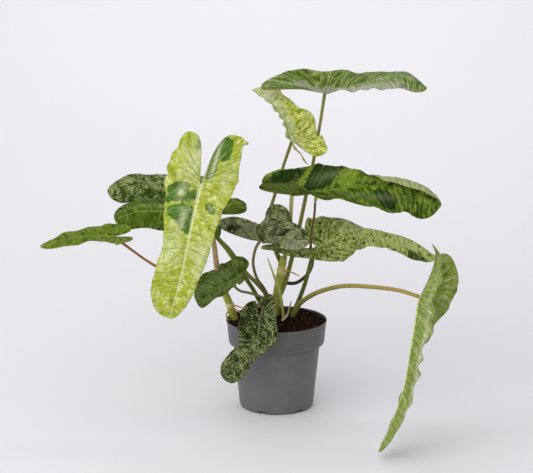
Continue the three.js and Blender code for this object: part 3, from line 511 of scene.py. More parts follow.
def half_blade(leaf, half, rows=110, columns=26):
    """Half a blade as a grid over s, along the rib from the ear lobe's end to the tip, and v, from the rib
    to the margin. x = inner(s) + (outer(s) - inner(s)) v is the way out from the rib. The row is an arc
    that leaves the rib at fold(s) and turns by curl(s) x / outer(s), raised by a wave that grows to the
    margin, by pleats and small blisters between the side veins, and by fine ripples at the margin. Returns
    the points and the fields that the skin reads."""
    side = -1 if half == 0 else 1
    line, lengths, knots = spline(leaf["spine"])
    start = knots[leaf.get("junction", 1)]
    whole = lengths[-1]
    fore = whole - start
    out, back = leaf["lobe"][half]
    width = leaf["width"][half]

    # Along the rib: a third of the rows lie on the ear lobe, and all crowd towards the two ends.
    lobe_rows = int(rows * 0.34)
    t = np.sin(np.linspace(np.pi / 2, 0, lobe_rows + 1))
    f = 1 - (1 - np.linspace(0, 1, rows - lobe_rows + 1)[1:]) ** 1.35
    s = np.concatenate([-t * back, f * fore])
    on_lobe = np.clip(-s / back, 0, 1)
    on_blade = np.clip(s / fore, 0, 1)

    # The outline: how far out the margin and the lobe's inner side lie, slightly torn, with its nicks.
    blunt = leaf.get("blunt", 2.4)
    round_end = np.clip(1 - on_lobe**blunt, 0, 1) ** (1 / blunt)
    tip_end = np.sqrt(np.clip(1 - on_blade ** leaf.get("tip", (5, 5))[half], 0, 1))
    gap = leaf.get("gap", (0.15, 0.15))[half]
    widths = leaf.get("base", (BLADE_WIDTHS, BLADE_WIDTHS))[half]
    outer = width * np.where(s < 0, out + (1 - out) * round_end, eased(widths, on_blade) * tip_end)
    inner = width * np.where(s < 0, out - (out - gap * on_lobe**0.7) * round_end, 0)
    seed = 3.7 * leaf["number"] + 11 * half
    torn = 0.035 * lumps(s, seed, 12, 5) + 0.022 * lumps(s, seed, 5, 6)
    outer = inner + (outer - inner) * (1 + torn)
    for nicked, at, size, spread in leaf.get("nicks", []):
        outer = np.maximum(outer + (nicked == half) * size * np.exp(-(((s - at) / spread) ** 2)), 0)
    steps = np.linspace(0, 1, columns)
    v = 0.5 * (1 - np.cos(np.pi * steps)) / 2 + 0.5 * steps
    x = inner[:, None] + (outer - inner)[:, None] * v

    # Three directions at each place on the rib: on along it, up from the face and out across it.
    middle = on_line(line, lengths, s + start)
    ahead = np.minimum(s + start + 4, whole)
    along = on_line(line, lengths, ahead) - on_line(line, lengths, s + start - 4)
    along /= np.linalg.norm(along, axis=1)[:, None]
    up = np.asarray(leaf.get("up", (0, 0, 1)), float)
    upward = up - (along @ up)[:, None] * along
    upward /= np.linalg.norm(upward, axis=1)[:, None]
    across = side * np.cross(along, upward)

    # The row's arc. Its chord is x sinc(half turn), and it sets off half way round from the fold.
    q = np.clip((s + start) / whole, 0, 1)
    fold = np.radians(eased(leaf["fold"][half], q))[:, None]
    curl = np.radians(eased(leaf["curl"][half], q))[:, None]
    share = x / np.maximum(outer, 1e-6)[:, None]
    angle = fold + curl * share
    half_turn = curl * share / 2
    chord = x * np.sinc(half_turn / np.pi)

    # What rises from the arc: the wave, pleats and blisters between the side veins, ripples at the margin.
    # reach is where a point's side vein leaves the rib, and vein counts the side veins up to it.
    height, count, phase = leaf["wave"][half]
    fade = 1 - np.abs(2 * q - 1) ** 6
    raised = (height * fade * np.sin(2 * np.pi * count * q + phase))[:, None] * (x / width) ** 1.6
    reach = s[:, None] - leaf.get("slant", 0.5) * x - 0.004 * x**2
    spacing = leaf.get("spacing", 12.0)
    vein = np.where(reach > 0, reach / spacing, 2.2 * reach / (x + 8))
    vein = vein + 0.24 * np.sin(1.7 * vein + leaf["number"]) + 0.1 * np.sin(4.3 * vein)
    slope = np.clip(np.gradient(outer, s), -8, 8)[:, None]
    edge = (outer[:, None] - x) / np.sqrt(1 + slope**2)
    edge = np.where(s[:, None] < 0, np.minimum(edge, x - inner[:, None]), edge)
    inside = np.clip(x / 7, 0, 1) * np.clip(edge / 6, 0, 1)
    raised += leaf.get("pleat", 0.9) * inside * (1 - 4 * (vein % 1 - 0.5) ** 2)
    blisters = lumps(vein * spacing, x + seed, 9, 8) + 0.5 * lumps(vein * spacing, x + seed, 4, 9)
    raised += BLISTER_HEIGHT * inside * blisters
    ripple = lumps(s, seed, 13, 10)[:, None] + 0.5 * lumps(s, seed, 6, 11)[:, None]
    raised += leaf.get("ripple", 1.6) * ripple * (x / width) ** 3 * fade[:, None]

    flat = chord * np.cos(fold + half_turn) - raised * np.sin(angle)
    lift = chord * np.sin(fold + half_turn) + raised * np.cos(angle)
    points = middle[:, None] + across[:, None] * flat[..., None] + upward[:, None] * lift[..., None]
    fields = {"along": s[:, None] + 0 * x, "across": side * x, "vein": vein, "edge": edge, "reach": reach}
    return points, {**fields, "tipward": fields["along"] / fore}


def blade(leaf):
    """A whole blade: both halves sewn along the rib, a lower side below them by the thickness, with the rib
    standing out under it as a round ridge, and a rim. Returns points, faces and fields."""
    grids, fields, faces, count = [], [], [], 0
    for half in (0, 1):
        points, values = half_blade(leaf, half)
        squares = grid_faces(*points.shape[:2]) + count
        faces.append(squares if half else squares[:, ::-1])
        count += points.shape[0] * points.shape[1]
        grids.append(points.reshape(-1, 3))
        fields.append({k: v.ravel() for k, v in values.items()})
    points = np.concatenate(grids)
    faces = np.concatenate(faces)
    values = {k: np.concatenate([f[k] for f in fields]) for k in fields[0]}

    # Points within 0.004 mm of each other become one, and triangles that lose a corner by it go.
    _, first, number = np.unique(np.round(points / 0.004), axis=0, return_index=True, return_inverse=True)
    number = number.ravel()
    points, faces = points[first], number[faces]
    values = {k: v[first] for k, v in values.items()}
    triangles = np.concatenate([faces[:, [0, 1, 2]], faces[:, [0, 2, 3]]])
    triangles = triangles[(np.diff(np.sort(triangles, 1), axis=1) > 0).all(1)]
    a, b, c = (points[triangles[:, k]] for k in range(3))
    normals = np.zeros_like(points)
    for k in range(3):
        np.add.at(normals, triangles[:, k], np.cross(b - a, c - a))
    normals /= np.maximum(np.linalg.norm(normals, axis=1), 1e-9)[:, None]

    # The upper side has a shallow groove over the rib, and the lower side a ridge that fades to the tip.
    on_rib = np.exp(-((values["across"] / 1.9) ** 2)) * np.clip((values["along"] + 4) / 6, 0, 1)
    fore = values["along"].max()
    ridge = RIB_HEIGHT * on_rib * (1 - 0.75 * np.clip(values["along"] / fore, 0, 1))
    upper = points - normals * (0.5 * on_rib)[:, None]
    lower = points - normals * (BLADE_THICKNESS + ridge)[:, None]

    # An edge that no triangle runs along the other way lies on the rim, where a wall joins both sides.
    pairs = np.concatenate([triangles[:, [0, 1]], triangles[:, [1, 2]], triangles[:, [2, 0]]])
    codes = pairs[:, 0] * len(points) + pairs[:, 1]
    rim = pairs[~np.isin(pairs[:, 1] * len(points) + pairs[:, 0], codes)]
    n = len(points)
    walls = np.concatenate([rim[:, [1, 0]], rim[:, :1] + n], 1)
    walls = np.concatenate([walls, np.stack([rim[:, 1], rim[:, 0] + n, rim[:, 1] + n], -1)])
    faces = np.concatenate([triangles, triangles[:, ::-1] + n, walls])
    values = {k: np.concatenate([v, v]) for k, v in values.items()}
    values["under"] = np.repeat([0.0, 1.0], n)
    return np.concatenate([upper, lower]), faces, values


def patch_field(values, patches):
    """What the patches add to the marbling: paler above zero, darker below. A patch is a rounded square, by
    the start of its side veins (a) and the way out from the rib (c): its amount times
    (1 - (|da/ra|^4 + |dc/rc|^4)^(1/4)) min(ra, rc) / 2.5 plus a little noise, held within 0 to 1.
    A taper draws its outer side in towards the tip: rc and c shrink by taper rc da / ra."""
    field = np.zeros(len(values["reach"]))
    for reach, across, half_length, half_width, amount, *taper in patches:
        da = (values["reach"] - reach) / half_length
        drawn_in = (taper[0] if taper else 0) * half_width * np.clip(da, -1, 1)
        dc = (values["across"] - across + np.sign(across) * drawn_in) / (half_width - drawn_in)
        within = (1 - (da**4 + dc**4) ** 0.25) * min(half_length, half_width) / 2.5
        within += 0.4 * lumps(values["reach"], values["across"], 7, 21)
        field += amount * np.clip(within, 0, 1)
    return field


def shine_field(values, spots):
    """How much painted highlight, a whitish shine, the spots add, in the patches' terms: each is a soft
    oval, its amount times exp(-(da / ra)^2 - (dc / rc)^2)."""
    field = np.zeros(len(values["reach"]))
    for reach, across, half_length, half_width, amount in spots:
        da, dc = (values["reach"] - reach) / half_length, (values["across"] - across) / half_width
        field += amount * np.exp(-(da**2) - dc**2)
    return field


def cut_at(share, spread=0.055):
    """The noise value that a share of a soft noise lies above."""
    return 0.5 + spread * math.log((1 - share) / share)


def blade_skin(name, look, seed):
    """Waxed leaf skin, satin above and duller below. Three tissues, pale, green and dark, lie in broken
    patches that run with the side veins, under fine strokes. marble is the weighed sum of a broad noise,
    streaks and specks, plus the patches: it is pale above one cut and dark below another. Side veins and
    rib show as pale lines, the margin is thin and brown, and a whitish sheen is painted on the crests as a
    painted highlight. pale_share and dark_share are about the shares of the blade that those two tissues
    take up."""
    skin = new_material(name)
    names = ("along", "across", "vein", "edge", "under", "patch", "shine", "tipward")
    fields = {f: add(skin, "Attribute", out=2, attribute_name=f) for f in names}
    flat = add(skin, "CombineXYZ", {0: fields["along"], 1: fields["across"], 2: seed})
    with_veins = add(skin, "CombineXYZ", {0: fields["vein"], 1: fields["across"], 2: seed})

    # Clouds are 12 mm wide and specks 2.6 mm. With side veins 12 mm apart, streaks are 4.6 mm wide and
    # 8 to 22 mm long. Strokes are 1.7 mm wide, as fine as a render shows them, and 11 mm long.
    streaks = add(skin, "Mapping", {0: with_veins, 3: (2.6, look.get("streak", 0.13), 1)})
    strokes = add(skin, "Mapping", {0: with_veins, 3: (7.0, 0.09, 1)})
    cloud_noise = {"Vector": flat, "Scale": 1 / look.get("size", 12.0), "Detail": 6.0, "Roughness": 0.72}
    wide = add(skin, "TexNoise", cloud_noise)
    runs = add(skin, "TexNoise", {"Vector": streaks, "Scale": 1.0, "Detail": 4.0, "Roughness": 0.65})
    specks = add(skin, "TexNoise", {"Vector": flat, "Scale": 1 / look.get("speck", 2.6), "Detail": 2.0})
    lines = add(skin, "TexNoise", {"Vector": strokes, "Scale": 1.0, "Detail": 3.0, "Roughness": 0.6})

    weights = np.array(look.get("marble", (0.5, 0.6, 0.3)))
    weights /= np.linalg.norm(weights)
    marble = fields["patch"]
    for noise, weight in zip((wide, runs, specks), weights):
        marble = add(skin, "Math", {0: noise, 1: weight, 2: marble}, operation="MULTIPLY_ADD")
    marble = add(skin, "Math", {0: marble, 1: 0.5 - 0.5 * weights.sum()}, operation="ADD")
    pale_cut = cut_at(look["pale_share"])
    dark_cut = 1 - cut_at(look["dark_share"])
    soft = look.get("soft", 0.03)
    pale = add(skin, "MapRange", {"Value": marble, 1: pale_cut - soft, 2: pale_cut + soft})
    dark_range = {"Value": marble, 1: dark_cut - soft, 2: dark_cut + soft, 3: 1.0, 4: 0.0}
    dark = add(skin, "MapRange", dark_range)
    tint = add(skin, "MapRange", {"Value": wide, 1: 0.35, 2: 0.65})
    greens = {0: tint, 6: linear(look["green"]), 7: linear(look["green_2"])}
    colour = add(skin, "Mix", greens, out=2, data_type="RGBA")

    # The underside has a colour of its own, which may differ between the two halves.
    under_mix = look.get("under_mix", 0.45)
    by_half = {"Value": fields["across"], 1: -1.0, 2: 1.0}
    near_half = add(skin, "MapRange", by_half)
    beneath = add(skin, "MapRange", {**by_half, 3: under_mix, 4: look.get("under_near_mix", under_mix)})
    beneath = add(skin, "Math", {0: fields["under"], 1: beneath}, operation="MULTIPLY")
    unders = {0: near_half, 6: linear(look["under"]), 7: linear(look.get("under_near", look["under"]))}
    lower = add(skin, "Mix", unders, out=2, data_type="RGBA")
    for share, tissue in ((pale, linear(look["pale"])), (dark, linear(look["dark"])), (beneath, lower)):
        colour = add(skin, "Mix", {0: share, 6: colour, 7: tissue}, out=2, data_type="RGBA")
    depth = look.get("shade", 0.28)
    shade = add(skin, "MapRange", {"Value": lines, 1: 0.35, 2: 0.65, 3: 1 - depth, 4: 1 + depth})
    colour = add(skin, "VectorMath", {0: colour, "Scale": shade}, operation="SCALE")

    # Half-way between two side veins the blade crests, and a painted highlight there stands in for the
    # light that it catches. turns is 0 there, and 0.5 at a side vein.
    turns = add(skin, "Math", {0: fields["vein"]}, operation="FRACT")
    turns = add(skin, "Math", {0: turns, 1: 0.5}, operation="SUBTRACT")
    turns = add(skin, "Math", {0: turns}, operation="ABSOLUTE")
    crest_highlight = add(skin, "MapRange", {"Value": turns, 1: 0.08, 2: 0.36, 3: look.get("sheen", 0.3), 4: 0.0})
    lit = add(skin, "MapRange", {"Value": wide, 1: 0.44, 2: 0.6})
    crest_highlight = add(skin, "Math", {0: crest_highlight, 1: lit}, operation="MULTIPLY")
    highlight_strokes = add(skin, "MapRange", {"Value": lines, 1: 0.35, 2: 0.65, 3: 0.45, 4: 1.3})
    # The shine spots add their painted highlight, broken up by the strokes.
    crest_highlight = add(skin, "Math", {0: fields["shine"], 1: highlight_strokes, 2: crest_highlight}, operation="MULTIPLY_ADD")

    # Flecks are small round spots in a grain of 2.8 mm or more.
    fleck_noise = {"Vector": flat, "Scale": 1 / look.get("fleck_size", 2.8), "Detail": 1.0}
    spot = add(skin, "TexNoise", fleck_noise)
    fleck_cut = cut_at(look.get("flecks", 0.02))
    fleck = add(skin, "MapRange", {"Value": spot, 1: fleck_cut, 2: fleck_cut + 0.03, 3: 0.0, 4: 0.85})

    # Side veins are broken lines. The rib narrows towards the tip, and the brown margin is 1 mm wide.
    vein = add(skin, "MapRange", {"Value": turns, 1: 0.42, 2: 0.5})
    broken = add(skin, "MapRange", {"Value": runs, 1: 0.35, 2: 0.6, 3: 0.0, 4: look.get("veins", 0.4)})
    drawn = add(skin, "Math", {0: vein, 1: broken}, operation="MULTIPLY")
    out_way = add(skin, "Math", {0: fields["across"]}, operation="ABSOLUTE")
    rib_width = look.get("rib_width", 2.2)
    narrowed = {0: fields["tipward"], 1: 0.6 * rib_width, 2: out_way}
    out_way = add(skin, "Math", narrowed, operation="MULTIPLY_ADD")
    rib_range = {"Value": out_way, 1: 0.4 * rib_width, 2: rib_width, 3: look.get("rib_mix", 0.8), 4: 0.0}
    rib = add(skin, "MapRange", rib_range)
    margin = add(skin, "MapRange", {"Value": fields["edge"], 1: 0.3, 2: 1.1, 3: 0.5, 4: 0.0})

    # The colour of the painted sheen: a whitish painted highlight.
    painted_sheen = linear(look.get("painted_sheen", look["pale"]))
    fleck_colour = linear(look.get("fleck", look["dark"]))
    line_colour = linear(look["vein"])
    brown = linear("#7a5a34")
    shares = (crest_highlight, fleck, drawn, rib, margin)
    for share, tissue in zip(shares, (painted_sheen, fleck_colour, line_colour, line_colour, brown)):
        colour = add(skin, "Mix", {0: share, 6: colour, 7: tissue}, out=2, data_type="RGBA")
    gloss = look.get("gloss", 0.3)
    roughness = add(skin, "MapRange", {"Value": fields["under"], 3: gloss, 4: gloss + 0.2})
    relief = add(skin, "Math", {0: lines, 1: -0.6, 2: vein}, operation="MULTIPLY_ADD")
    relief = add(skin, "Math", {0: wide, 1: -1.5, 2: relief}, operation="MULTIPLY_ADD")
    return finish_skin(skin, colour, roughness, relief, IOR=1.45, Specular_IOR_Level=0.07)


def stalk_skin(name, foot, top):
    """Waxy green bark, satin: the foot's colour runs into the top's, under streaks 0.9 mm wide that are
    drawn out seven times along +Z, with a few brown specks 2 mm wide."""
    skin = new_material(name)
    place = add(skin, "TexCoord", out=3)
    s = add(skin, "Attribute", out=2, attribute_name="height")
    base = add(skin, "Mix", {0: s, 6: linear(foot), 7: linear(top)}, out=2, data_type="RGBA")
    long_way = add(skin, "Mapping", {0: place, 3: (1, 1, 0.15)})
    streaks = add(skin, "TexNoise", {"Vector": long_way, "Scale": per_metre(0.909), "Detail": 3.0})
    streak = add(skin, "MapRange", {"Value": streaks, 1: 0.35, 2: 0.7, 3: 0.8, 4: 1.15})
    specks = add(skin, "TexNoise", {"Vector": place, "Scale": per_metre(2), "Detail": 2.0})
    speck = add(skin, "MapRange", {"Value": specks, 1: 0.66, 2: 0.74, 3: 0.0, 4: 0.6})
    base = add(skin, "Mix", {0: speck, 6: base, 7: linear("#5a4228")}, out=2, data_type="RGBA")
    shade = add(skin, "VectorMath", {0: base, "Scale": streak}, operation="SCALE")
    return finish_skin(skin, shade, 0.45, streaks, 0.00015, Specular_IOR_Level=0.12)


def grow_stalk(name, path, radii, colours, node):
    """A stalk's tube, with three shallow ridges along it, its skin, and its ties to the solids."""

    def ridges(s, a):
        """Three ridges 0.1 mm high: 0.1 cos(3 a + 0.01 s)."""
        return 0.1 * np.cos(3 * a + 0.01 * s)

    body = tube(path, radii, 110, 20, ridges)
    skin = stalk_skin(name + "_skin", *colours)
    piece = mesh(name, body[0], body[1][:, ::-1], skin, height=body[2])
    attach(piece, "root")
    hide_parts(node)


def grow_leaf(number, look, stalk, **leaf):
    """A leaf's blade and its stalk, dressed and tied to their solids."""
    name = f"leaf_{number:02d}"
    points, faces, values = blade({**leaf, "number": number})
    values["patch"] = patch_field(values, look.get("patches", []))
    values["shine"] = shine_field(values, look.get("shine", []))
    skin = blade_skin(name + "_skin", look, number * 7.3)
    piece = mesh(name + "_leafage", points, faces, skin, **values)
    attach(piece, "root")
    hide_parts(name + "_blade")
    path, radii, colours, slot = stalk
    grow_stalk(name + "_petiole", path, radii, colours, name + "_stalk")


# Most of a leaf's settings come in pairs, for its two halves. The spine is the rib's line, and the stalk
# meets it at the point numbered junction. A half is as wide as width times the base shares on the way to
# the tip. lobe gives where its ear lobe ends: the share of the width out from the rib, and the millimetres
# behind the stalk. gap is the share left open beside the lobe. A nick or bulge is its half, place, size and
# spread at the margin. fold and curl are degrees from the back to the tip, and a wave is its height, count
# and phase. Side veins stand spacing apart and lean by slant, and up is the way that the face looks.
# stalk gives the stalk's line and radii, the colours of its foot and top, and its slot.

# Leaf 1, the top one: level and green, with pale side veins. Its near half is folded up at the stalk.
grow_leaf(
    1,
    spine=[
        [-25, 117, 515], [39, 105, 523], [81, 95, 520], [107, 88, 529],
        [132, 81, 535], [171, 69, 548], [210, 55, 555], [249, 44, 534],
    ],
    junction=2,
    width=[46, 46],
    lobe=[[0.45, 113], [0.5, 50]],
    gap=[0.1, 0.35],
    blunt=3,
    tip=[9, 6],
    fold=[[36, 50, 50, 28, 6, 0], [45, 38, 20, -7, -30, -40]],
    curl=[[-5, -5], [-5, -5, -15, -20]],
    wave=[[1, 3, 0], [2.6, 12, 0]],
    spacing=9,
    look=dict(
        slot="leaf_green", pale="#99a272", green="#5e7525", green_2="#758837", dark="#445d0f",
        pale_share=0.2, dark_share=0.25, vein="#b3b995", under="#c2caae", under_mix=0.85, painted_sheen="#b1b4a0",
        marble=(0.25, 0.9, 0.1), streak=0.045, shade=0.38, sheen=0.18, veins=0.42,
        # Painted highlight on the near margin and lobe; the first patch paints the near half paler, as
        # sheen.
        shine=[(80, 34, 140, 14, 0.9), (-20, 34, 30, 14, 0.35)],
        patches=[(60, 25, 130, 30, 0.05), (60, -25, 150, 30, -0.03)],
    ),
    stalk=(
        [
            [3, 32, 178], [10, 36, 192], [18, 44, 214], [38, 68, 291], [49, 84, 340],
            [62, 97, 400], [74, 105, 468], [81, 95.3, 519.6],
        ],
        [4.6, 3.9, 3.6, 3.3, 2.9, 2.6, 2.9],
        ("#84883c", "#8c8848"), "stalk_green",
    ),
)

# Leaf 2, upper left: yellow-green and mottled, rising to the back with its left half folded up.
grow_leaf(
    2,
    spine=[
        [61, -10, 403], [25, 45, 446], [17, 85, 469],
        [-3, 125, 494], [-23, 155, 507], [-42, 180, 515],
    ],
    width=[20, 52],
    gap=[0, 0.25],
    nicks=[(1, -2, 3, 10)],
    lobe=[[0.1, 62], [0.55, 52]],
    blunt=3.2,
    ripple=2.5,
    up=[0.3, -1, 0.5],
    base=[BLADE_WIDTHS, [1, 0.97, 0.93, 0.64, 0.54, 0.72, 0.66]],
    fold=[[55, 62, 52, 45, 42, 42], [0, 0, 0, -10]],
    curl=[[0, 0], [0, 0, 10, 20]],
    wave=[[3, 9, 0], [3, 4, 1]],
    look=dict(
        slot="leaf_pale", pale="#c8cb6c", green="#94a31c", green_2="#a5af31", dark="#728a02",
        pale_share=0.5, dark_share=0.15, vein="#d4d891", under="#aeb58e", under_mix=0.8, painted_sheen="#cccfba",
        shade=0.38, flecks=0.03,
        shine=[(60, -22, 130, 10, 0.7), (60, 2, 130, 8, 0.5), (125, 10, 25, 30, 0.35)],
    ),
    stalk=(
        [
            [8, 32, 238], [-2, 46, 258], [-10, 60, 285], [-12, 68, 303], [-10, 74, 326],
            [-5, 76, 343], [10, 68, 396], [25, 45.3, 445.4],
        ],
        [4.4, 3.4, 3.1, 2.8, 2.6, 2.9],
        ("#8a8444", "#8f8a48"), "stalk_olive",
    ),
)

# Leaf 3, the long middle one: level, dark with yellow-green patches. Its far half rolls over to show the
# olive underside.
grow_leaf(
    3,
    spine=[
        [-25, 20, 359], [25, 15, 360], [59, 10, 364], [110, 2, 374],
        [164, -6, 379], [219, -20, 376], [268, -31, 350],
    ],
    width=[52, 56],
    lobe=[[0.5, 52], [0.5, 52]],
    tip=[8, 22],
    base=[[1, 1, 0.82, 0.57, 0.72, 0.75, 0.7], [1, 0.82, 0.66, 0.67, 0.82, 0.68, 0.7]],
    fold=[[50, 52, 56, 62, 57, 15, 0, 20, 34, 28, 20], [40, 36, -10, -45, -66, -70]],
    curl=[[-10, -10, -10, -10, -8, 60, 200, 240, 250, 230, 200], [-10, -10]],
    wave=[[2, 3, 0], [2, 5, 1]],
    look=dict(
        slot="leaf_green", pale="#758c2a", green="#354f04", green_2="#4b6609", dark="#143200",
        pale_share=0.3, dark_share=0.16, vein="#829639", under="#a9ab7d", under_near="#55622a",
        under_mix=0.8, under_near_mix=0.3, painted_sheen="#969f6f", marble=(0.5, 0.75, 0.15), streak=0.07,
        sheen=0.18,
        shine=[(44, -26, 26, 10, 0.3), (120, 20, 60, 6, 0.3)],
        patches=[
            (146, 24, 15, 16, -0.7), (90, 30, 150, 40, -0.02), (80, -30, 150, 44, 0.05),
            (36, -32, 26, 28, -0.35), (-32, -26, 30, 24, -0.3), (0, -30, 6, 30, 0.25),
            (-30, 26, 34, 28, 0.15), (84, -30, 12, 26, 0.2),
        ],
    ),
    stalk=(
        [[12, 30, 240], [16, 32, 262], [22, 36, 290], [24, 30, 328], [25, 15.6, 359.6]],
        [4.2, 3.5, 3.3, 3.2, 3.4],
        ("#b4b56c", "#b9bd7a"), "sheath",
    ),
)

# Leaf 4, the large pale one: hangs at the front left with its face out. Glossy dark patches lie left of
# the rib, and the inner half of its right ear lobe is dark too.
grow_leaf(
    4,
    spine=[
        [-97, -66, 473], [-122, -70, 392], [-133, -84, 346],
        [-143, -98, 300], [-155, -106, 244], [-174, -98, 177],
    ],
    width=[50, 54],
    lobe=[[0.75, 94], [0.7, 78]],
    blunt=3.2,
    nicks=[(0, -87, 10, 4), (0, -20, 6, 30), (1, -22, 7, 20)],
    spacing=18,
    slant=0.1,
    pleat=1.6,
    gap=[0.07, 0.3],
    up=[0, -1, 0.25],
    tip=[6, 9],
    base=[[1, 0.88, 0.81, 0.71, 0.62, 0.56, 0.5], [1.05, 0.93, 0.81, 0.72, 0.81, 0.86, 0.88]],
    fold=[[8, 8], [8, 8]],
    curl=[[-12, -12], [-12, -12]],
    wave=[[3, 4, 0], [3, 4, 1]],
    look=dict(
        slot="leaf_pale", pale="#c2c97f", green="#9ca92c", green_2="#abb638", dark="#426c06",
        pale_share=0.3, dark_share=0.012, vein="#d6dba3", under="#b8c26c", painted_sheen="#d7dcae", sheen=0.25,
        gloss=0.28, veins=0.3, rib_width=4.2, rib_mix=0.9, flecks=0.012, fleck_size=4.5, fleck="#59750a",
        shine=[
            (12, 28, 12, 7, 0.6), (54, 16, 14, 6, 0.65), (30, -24, 5, 5, 0.5), (-46, -12, 40, 3.5, 0.9),
            (-40, 20, 40, 16, 0.5), (105, 26, 30, 14, 0.5), (105, -26, 34, 14, 0.5),
            (-30, -36, 30, 10, 0.35),
        ],
        patches=[
            (11, 34, 16, 18, -0.7), (19, 14, 10, 13, -0.7), (57, 16, 26, 15, -0.7, 0.8),
            (30, -24, 8, 10, -0.5), (-44, -8, 36, 11, -0.45), (-72, -20, 22, 14, -0.45),
            (-66, 22, 8, 5, -0.5),
        ],
    ),
    stalk=(
        [[-90, -4, 201], [-99, -14, 241], [-104, -25, 288], [-114, -50, 340], [-121.4, -68.2, 389]],
        [5.8, 4.8, 4.3, 3.8, 3.4, 3.4],
        ("#c2a676", "#b08a72"), "stalk_pale",
    ),
)

# Leaf 5, left, behind the pale one: green, roof-shaped, pleated at its side veins.
grow_leaf(
    5,
    spine=[[-55, 80, 304], [-120, 60, 318], [-193, 52, 324], [-232, 48, 325], [-275, 42, 313]],
    width=[48, 44],
    base=[[1, 0.95, 0.84, 0.75, 0.67, 0.61, 0.52], BLADE_WIDTHS],
    blunt=3.4,
    lobe=[[0.5, 26], [0.65, 75]],
    tip=[12, 12],
    fold=[[-45, -45, -48, -55], [52, 46, 40, 35]],
    curl=[[-10, -10], [-15, -15]],
    wave=[[2, 3, 0], [2, 4, 1]],
    slant=0.2,
    spacing=11,
    pleat=1.3,
    look=dict(
        slot="leaf_green", pale="#71872c", green="#325003", green_2="#4c6303", dark="#022702",
        pale_share=0.04, dark_share=0.12, vein="#97ac50", under="#7c8a58", painted_sheen="#92a35e",
        marble=(0.25, 0.9, 0.1), streak=0.045, shade=0.4, veins=0.7,
        shine=[(40, 11, 90, 6, 0.5)],
        patches=[(-45, 24, 30, 30, 0.1), (60, 24, 100, 24, -0.06)],
    ),
    stalk=(
        [
            [-19, 25, 158], [-26, 28, 168], [-40, 28, 194], [-55, 30, 217],
            [-82, 37, 258], [-106.5, 49.5, 286.5], [-119.7, 60, 317.4],
        ],
        [4.2, 3.6, 3.6, 3.5, 3.4, 3.0],
        ("#4f661c", "#7f8436"), "stalk_green",
    ),
)

# Leaf 6, left, behind the green one: dark and finely mottled.
grow_leaf(
    6,
    spine=[[-96, 150, 342], [-152, 137, 345], [-203, 123, 352], [-245, 110, 358], [-291, 97, 347]],
    width=[42, 44],
    lobe=[[0.5, 50], [0.5, 50]],
    tip=[10, 7],
    fold=[[-45, -45, -50, -55], [35, 38, 38, 30]],
    curl=[[-10, -10], [-15, -15]],
    wave=[[2, 3, 0], [2, 4, 1]],
    look=dict(
        slot="leaf_dark", pale="#8d995c", green="#5e6e38", green_2="#6e7e4a", dark="#31400b",
        pale_share=0.3, dark_share=0.4, vein="#889365", under="#767f5c", marble=(0.6, 0.6, 0.35),
        size=16.0, speck=3.6, soft=0.015, veins=0.1, rib_mix=0.15,
    ),
    stalk=(
        [
            [-16, 26, 176], [-20, 36, 186], [-35, 50, 200], [-52, 68, 212],
            [-82, 98, 246], [-107, 121, 268], [-130, 141, 312], [-151.6, 137, 344.2],
        ],
        [4.2, 3.6, 3.6, 3.5, 3.4, 3.0],
        ("#67702a", "#8a8444"), "stalk_olive",
    ),
)

# Leaf 7, far left: slender, level and green.
grow_leaf(
    7,
    spine=[[-225, -34, 303], [-267, -40, 301], [-306, -46, 303], [-344, -50, 300], [-387, -50, 287]],
    width=[36, 36],
    base=[[0.8, 0.7, 0.5, 0.75, 0.85, 0.8, 0.7], BLADE_WIDTHS],
    lobe=[[0.45, 30], [0.5, 30]],
    fold=[[-2, -4, -12, -10], [28, 25, 18, 8]],
    curl=[[-10, -10], [-10, -10]],
    wave=[[2, 3, 0], [2, 4, 1]],
    look=dict(
        slot="leaf_green", pale="#7c8d2d", green="#526b02", green_2="#647a02", dark="#214002",
        pale_share=0.1, dark_share=0.15, vein="#94a146", under="#838f5e", marble=(0.4, 0.8, 0.3),
        streak=0.06, shade=0.4,
    ),
    stalk=(
        [
            [-87, 0, 194], [-96, -4, 199], [-136, -12, 213],
            [-200, -26, 247], [-252, -38, 288], [-266.4, -40, 300.2],
        ],
        [3.6, 2.6, 2.4, 2.2, 2.1, 2.4],
        ("#a07a3e", "#8f6a38"), "stalk_brown",
    ),
)

# Leaf 8, small and low on the left: dark, with clear veins, its lower half brightened by a grey-green
# painted highlight.
grow_leaf(
    8,
    spine=[[-43, -20, 243], [-70, -38, 228], [-93, -55, 221], [-112, -68, 209], [-124, -74, 189]],
    width=[13, 32],
    base=[[0.7, 1, 1.3, 1.3, 1.2, 1.15, 1.1], [1, 1.02, 1.02, 1.02, 0.97, 0.83, 0.6]],
    lobe=[[0.1, 18], [0.5, 40]],
    gap=[0, 0],
    blunt=3,
    nicks=[(1, 19, -7, 4), (1, 29, -2, 5)],
    up=[0.1, -0.8, 0.6],
    tip=[3, 4],
    fold=[[10, 10], [12, 12]],
    curl=[[-10, -10], [-25, -10, -10, -10]],
    wave=[[2, 3, 0], [3, 3, 1]],
    look=dict(
        slot="leaf_dark", pale="#697a34", green="#495d16", green_2="#566a2a", dark="#35470b",
        pale_share=0.12, dark_share=0.3, vein="#778a42", under="#6a7650", painted_sheen="#829359", shade=0.36,
        shine=[(40, 16, 50, 10, 0.5), (20, -8, 40, 5, 0.5)],
    ),
    stalk=(
        [
            [-17, 22, 172], [-25, 14, 183], [-45, 2, 194],
            [-60, -12, 201], [-69, -28, 213], [-70, -37.4, 227.2],
        ],
        [3, 2.4, 2.2, 2.1, 2.1, 2.4],
        ("#6e7a3a", "#8a8c58"), "stalk_green",
    ),
)

